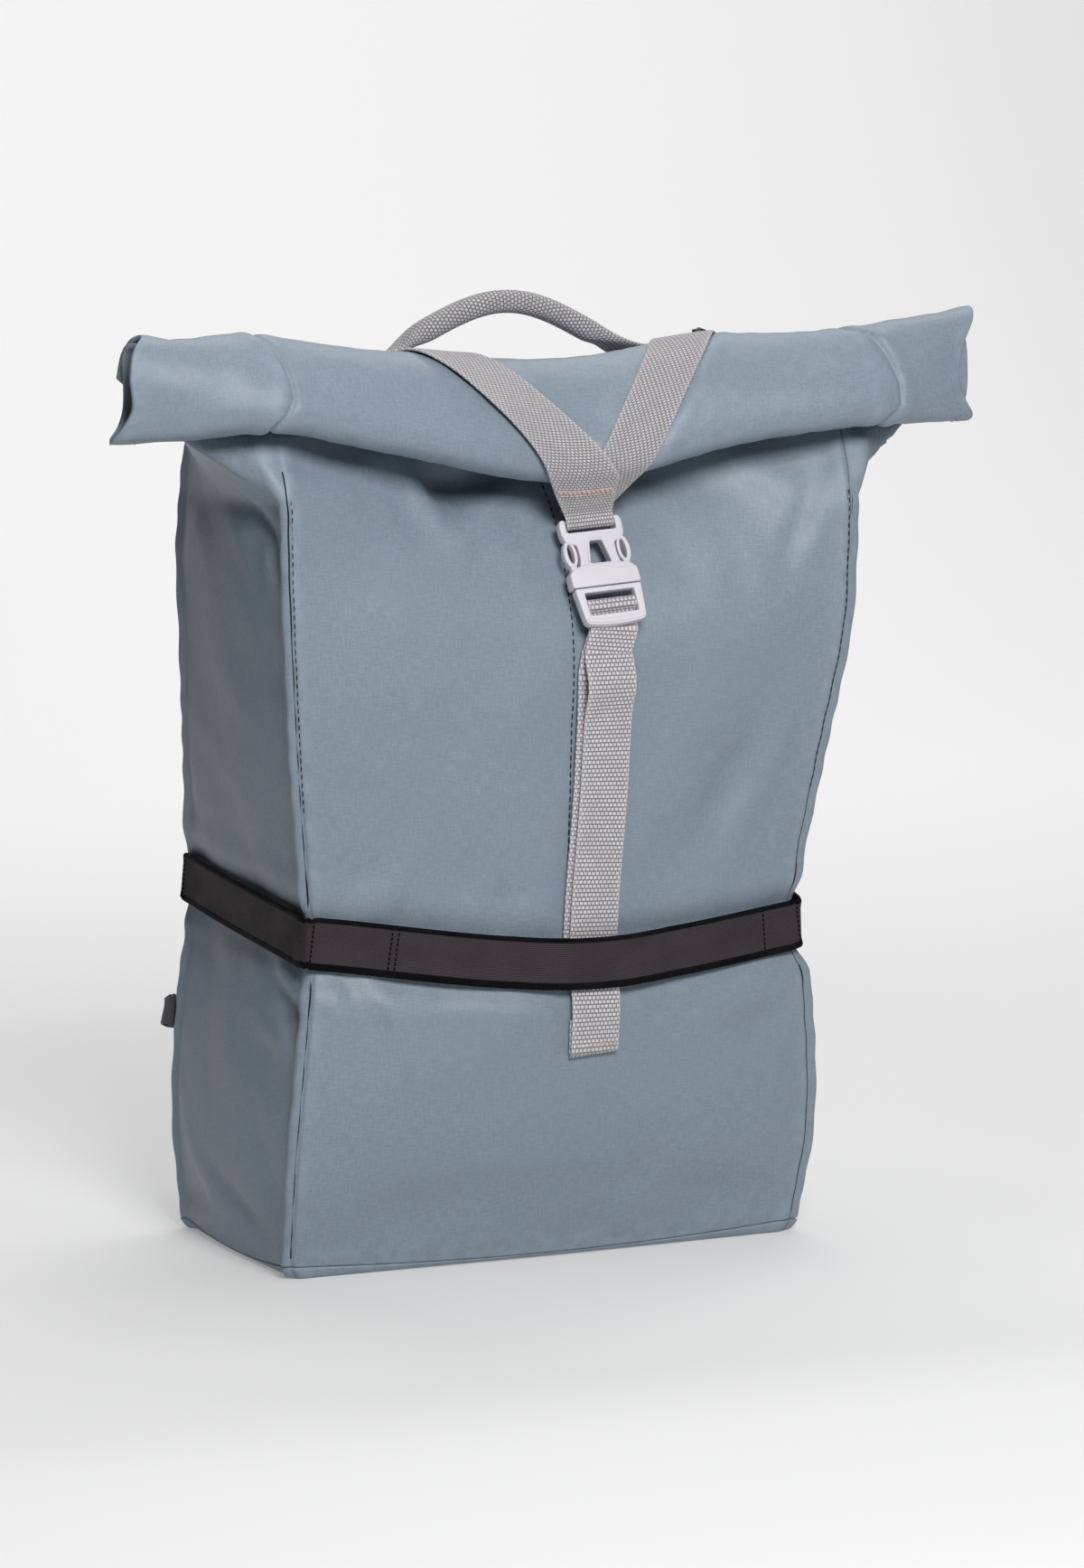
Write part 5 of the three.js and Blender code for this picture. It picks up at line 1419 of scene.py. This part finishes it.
def lower_tape(hand):
    start = PAD_TOP * RIM_HEIGHT - PAD_LENGTH + LOWER_WEBBING_WIDTH * 0.2
    end = LOWER_ANCHOR * RIM_HEIGHT
    t = np.linspace(0, 1, 24)
    z = start + (end - start) * t**0.8
    h = share_of_height(z)
    x = hand * (PAD_SPREAD + PAD_WIDTH * 0.2 + (half_width(h) - 1 - PAD_SPREAD - PAD_WIDTH * 0.2) * t)
    run = back_point(h, np.clip(x / half_width(h), -1, 1))
    run[:, 0] = x
    run[:, 1] += BACK_GAP + WEBBING_THICKNESS / 2
    last = run[-1]
    loop = np.stack([last + [hand * a, b, c] for a, b, c in LOWER_LOOP])
    points = np.concatenate([run, loop])
    down = unit(np.array([-hand * 0.25, 0, 1]))
    width, normal = from_stations(points, down)
    jut = np.clip((hand * (points[:, 0] - last[0]) - 1) / 5.5, 0, 1)
    width = width * (1 - 0.4 * jut**2)[:, None]
    side = "left" if hand < 0 else "right"
    tape = tape_along(f"lower_webbing_{side}_tape", points, width, normal, LOWER_WEBBING_WIDTH)
    return dress(tape, DARK_TAPE, "padding", f"lower_webbing_{side}")


for hand in (-1, 1):
    shoulder_pad(hand)
    lower_tape(hand)


# Small tab with a bead behind the crest on the right
def top_tab():
    t = np.linspace(0, 1, 16)
    x = (TAB_FROM + (TAB_TO - TAB_FROM) * t) * STRAP_SPREAD
    points, _ = on_roll(x, -TAB_BEHIND, WEBBING_THICKNESS + LAY_GAP + TAB_RISE * np.sin(np.pi * t))
    width, normal = from_stations(points, np.array([0.0, 1, 0]))
    return tape_along("top_tab_tape", points, width, normal, TAB_WIDTH)


def top_bead():
    x = (TAB_FROM + (TAB_TO - TAB_FROM) * 0.68) * STRAP_SPREAD
    seat, _ = on_roll(np.array([x]), -TAB_BEHIND, TAB_RISE * 0.84 + WEBBING_THICKNESS * 1.5 + LAY_GAP)
    radius = BEAD_LENGTH / 2
    middle = seat[0] + [0, 0, radius * 0.5 + 0.3]
    s = np.linspace(-1, 1, 19) * 0.999
    swell = np.sqrt(1 - s**2) * (0.86 + 0.14 * np.cos(2 * np.pi * s))
    wide, thick = stack(0.0, swell * radius * 0.6, 0.0), stack(0.0, 0.0, swell * radius * 0.5)
    return tube("top_bead_moulded", middle + stack(s * radius, 0.0, 0.0), wide, thick, 20)


dress(top_tab(), TAPE, "webbing", "top_tab")
dress(top_bead(), BEAD_PLASTIC, "bead", "top_bead")


# Stitching, and a dark line of painted shade in the groove of each corner seam
def panel_run(panel, share, low, high, lift, count=200):
    h = np.linspace(low, high, count)
    return cloth_at(panel, h, np.full(count, share), lift)


def front_line(x_from, x_to, z_from, z_to, out, count=30):
    """Straight run over the front at a lift off its smooth shape."""
    t = np.linspace(0, 1, count)
    points = front_at(x_from + (x_to - x_from) * t, z_from + (z_to - z_from) * t, out)
    return points, np.broadcast_to(np.array([0.0, -1, 0]), points.shape).copy()


CENTRE_SEAM = table(
    ["up", "across"],
    [[205, -2.6], [300, -2.4], [350, -1.8], [402, 0.5], [425, -0.5], [452, -7.0]],
)


def centre_seam():
    z = np.linspace(CENTRE_SEAM["up"][0], CENTRE_SEAM["up"][-1], 240)
    h = share_of_height(z)
    across = np.interp(z, CENTRE_SEAM["up"], CENTRE_SEAM["across"])
    return cloth_at("front", h, across / half_width(h), 0.25)


dress(stitches("centre_seam_stitches", [centre_seam()], 3.4, 1.2, 0.42), DARK_THREAD_AND_GROOVE_SHADE, "tarpaulin")
seam_runs = [panel_run("front", share, 0.55, 0.93, 0.5) for share in (-0.992, 0.992)]
# Dark line in the groove of each corner seam, below and above the band: painted shade of the groove, in the
# dark thread's colour
for side, share in (("left", -1.0), ("right", 1.0)):
    for part, low, high in (("low", 0.01, 0.365), ("high", 0.415, 0.955)):
        line, normal = panel_run("front", share, low, high, GROOVE_SHADE_LIFT)
        beside = unit(np.cross(np.gradient(line, axis=0), normal))
        groove_shade_line = tube(f"corner_groove_shade_{side}_{part}", line, beside * GROOVE_SHADE_RADIUS, normal * GROOVE_SHADE_RADIUS, 6)
        dress(groove_shade_line, DARK_THREAD_AND_GROOVE_SHADE, "tarpaulin")
dress(stitches("side_seam_stitches", seam_runs, 3.2, 1.5, 0.26), BLACK_THREAD, "tarpaulin")


def on_strap(centre, normal, row_place, across_from, across_to, lift, count=14):
    """Run across a webbing, from its own rows."""
    row = int(round(row_place * (len(centre) - 1)))
    shares = np.linspace(across_from, across_to, count)
    points = np.stack([np.interp(shares, EDGE_SHARES, centre[row, :, a]) for a in range(3)], axis=1)
    out = np.stack([np.interp(shares, EDGE_SHARES, normal[row, :, a]) for a in range(3)], axis=1)
    return points + out * lift, out


tacks = [
    on_strap(left_centre[:85], left_normal[:85], 0.79 + 0.0125 * k, -0.44, 0.47, WEBBING_THICKNESS / 2 + 0.15)
    for k in range(4)
]
dress(stitches("bar_tack_threads", tacks, 2.4, 0.4, 0.42), PINK_THREAD, "webbing")

end_z = FREE_END_HEIGHT * RIM_HEIGHT
HEM_HALF = 13.5
hem_out = WEBBING_THICKNESS / 2 + LAY_GAP + WEBBING_THICKNESS + LAY_GAP + WEBBING_THICKNESS / 2 + 0.1
hem_runs = [
    front_line(drift(end_z) - HEM_HALF, drift(end_z) + HEM_HALF, end_z + up, end_z + up, hem_out)
    for up in (3.0, 4.2)
]
dress(stitches("hem_threads", hem_runs, 2.4, 0.6, 0.28), PINK_THREAD, "webbing")


def band_line(place, low, high_share):
    k = int(np.argmin(np.abs(band_places - place)))
    shares = np.linspace(low, high_share, 20)
    out = band_normal[k] * (BAND_THICKNESS / 2 + 0.1)
    points = band_middle[k] + band_across[k] * (shares * BAND_WIDTH)[:, None] + out
    return points, np.broadcast_to(band_normal[k], points.shape).copy()


BAND_SEAMS = (0.252, 0.323, 0.326, 0.706, 0.709, 0.748, 0.012, 0.988)
band_runs = [band_line(place, -0.47, 0.47) for place in BAND_SEAMS]
dress(stitches("band_stitches", band_runs, 2.0, 0.7, 0.5), BLACK_THREAD, "elastic")


def roll_end_run(hand, offset, low, high_station):
    stations = np.linspace(low, high_station, 120)
    x = np.full(len(stations), hand * (ROLL_LENGTH / 2 - offset))
    middle, normal = sheet_frame(x / (ROLL_LENGTH / 2), stations)
    end = ((ROLL_LENGTH / 2 - offset - ROLL_SEAM) / (ROLL_LENGTH / 2 - ROLL_SEAM)) ** 2
    side = "left" if hand < 0 else "right"
    middle[:, 0] += hand * along(ROLL_ENDS, sheet_degrees(stations), side) * end
    lift = ROLL_OUTER + roll_relief(x, stations) + bell(offset - 3, 7) * 0.5 + 0.1
    return middle + normal * lift[:, None], normal


hem_lines = [roll_end_run(-1, 9, 14, 22), roll_end_run(1, 9, 7, 20)]
dress(stitches("roll_hem_stitches", hem_lines, 3.0, 1.8, 0.22), CLOTH_THREAD, "tarpaulin")

handle_tacks = []
for hand in (-1, 1):
    for inward in (6, 8, 24, 26):
        x = hand * (HANDLE_SPAN / 2 - inward)
        seats = [
            on_roll(np.array([x]), -HANDLE_BEHIND + off, 2 * WEBBING_THICKNESS + 0.5)
            for off in np.linspace(-12, 12, 12)
        ]
        handle_tacks.append((np.concatenate([s[0] for s in seats]), np.concatenate([s[1] for s in seats])))
dress(stitches("handle_threads", handle_tacks, 2.4, 0.8, 0.32), GREY_THREAD, "webbing")


# Floor, light and camera
def look_at(thing, place, target):
    thing.location = place
    thing.rotation_euler = (Vector(target) - Vector(place)).to_track_quat("-Z", "Y").to_euler()


def area_light(name, place, target, width, height, power, colour=(1, 1, 1)):
    light = bpy.data.lights.new(name, "AREA")
    light.shape = "RECTANGLE"
    light.size, light.size_y = width, height
    light.energy = power
    light.color = colour
    made = bpy.data.objects.new(name, light)
    bpy.context.scene.collection.objects.link(made)
    look_at(made, place, target)
    return made


def studio():
    left, right, deep, flat, bend, tall = -1.1, 3.6, 1.7, 2.1, 1.4, 3.6
    profile = [(-deep, 0.0), (flat, 0.0)]
    angles = np.linspace(0.1, math.pi / 2, 16)
    profile += [(flat + bend * math.sin(a), bend * (1 - math.cos(a))) for a in angles]
    profile += [(flat + bend, tall)]
    points = np.array([[x, y, z] for y, z in profile for x in (left, right)]) / MM
    faces = [(2 * k, 2 * k + 1, 2 * k + 3, 2 * k + 2) for k in range(len(profile) - 1)]
    floor = new_object("studio_floor", points, faces)
    made, tree, shader = start_material("pale_floor")
    place = node(tree, "ShaderNodeTexCoord").outputs["Object"]
    soft = solid_noise(tree, 2.0, 3.0)
    back = to_range(tree, node(tree, "ShaderNodeSeparateXYZ", {0: place}).outputs[1], -0.2, 2.2, 0, 1)
    tone = blend_colour(tree, back, (0.525, 0.525, 0.525, 1), (0.67, 0.67, 0.67, 1))
    tone = blend_colour(tree, to_range(tree, soft, 0.3, 0.7, 0, 0.03), tone, (0.6, 0.6, 0.6, 1))
    tree.links.new(tone, shader.inputs["Base Color"])
    shader.inputs["Roughness"].default_value = 0.9
    shader.inputs["Emission Color"].default_value = (1, 1, 1, 1)
    shader.inputs["Emission Strength"].default_value = 0.24
    floor.data.materials.append(made)
    floor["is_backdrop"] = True


studio()
world = bpy.data.worlds.new("studio_air")
world.use_nodes = True
world.node_tree.nodes["Background"].inputs[0].default_value = (1.0, 1.0, 1.0, 1)
world.node_tree.nodes["Background"].inputs[1].default_value = 0.06
bpy.context.scene.world = world
bpy.context.scene.view_settings.view_transform = "Standard"
area_light("key", (-0.3, -1.65, 1.25), (0, 0, 0.36), 0.7, 0.6, 32)
area_light("top", (0.1, -0.1, 2.2), (0, 0, 0.3), 1.0, 0.8, 9)
area_light("right_strip", (1.9, -0.6, 0.9), (0, 0, 0.3), 0.4, 1.4, 3)
area_light("backdrop", (1.2, 1.5, 3.3), (1.4, 2.9, 0.4), 3.4, 1.0, 84)

CAMERA_AZIMUTH = -25.33
CAMERA_ELEVATION = 6.05
CAMERA_DISTANCE = 2600
FOCAL_PIXELS = 5030
IMAGE_HEIGHT = 1735
SENSOR = 36
a, e = math.radians(CAMERA_AZIMUTH), math.radians(CAMERA_ELEVATION)
camera_data = bpy.data.cameras.new("camera")
camera_data.lens = SENSOR * FOCAL_PIXELS / IMAGE_HEIGHT
camera_data.sensor_width = SENSOR
camera = bpy.data.objects.new("camera", camera_data)
bpy.context.scene.collection.objects.link(camera)
target = np.array([27.4 * math.cos(a), 27.4 * math.sin(a) - 10, 260.7])
back = np.array([math.sin(a) * math.cos(e), -math.cos(a) * math.cos(e), math.sin(e)])
look_at(camera, ((target + CAMERA_DISTANCE * back) * MM).tolist(), (target * MM).tolist())
camera_data.clip_end = 50
bpy.context.scene.camera = camera

low, high_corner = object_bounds()
({
        "cad": [list(map(float, CAD_LOW)), list(map(float, CAD_HIGH))],
        "visual": [list(map(float, low)), list(map(float, high_corner))],
    })
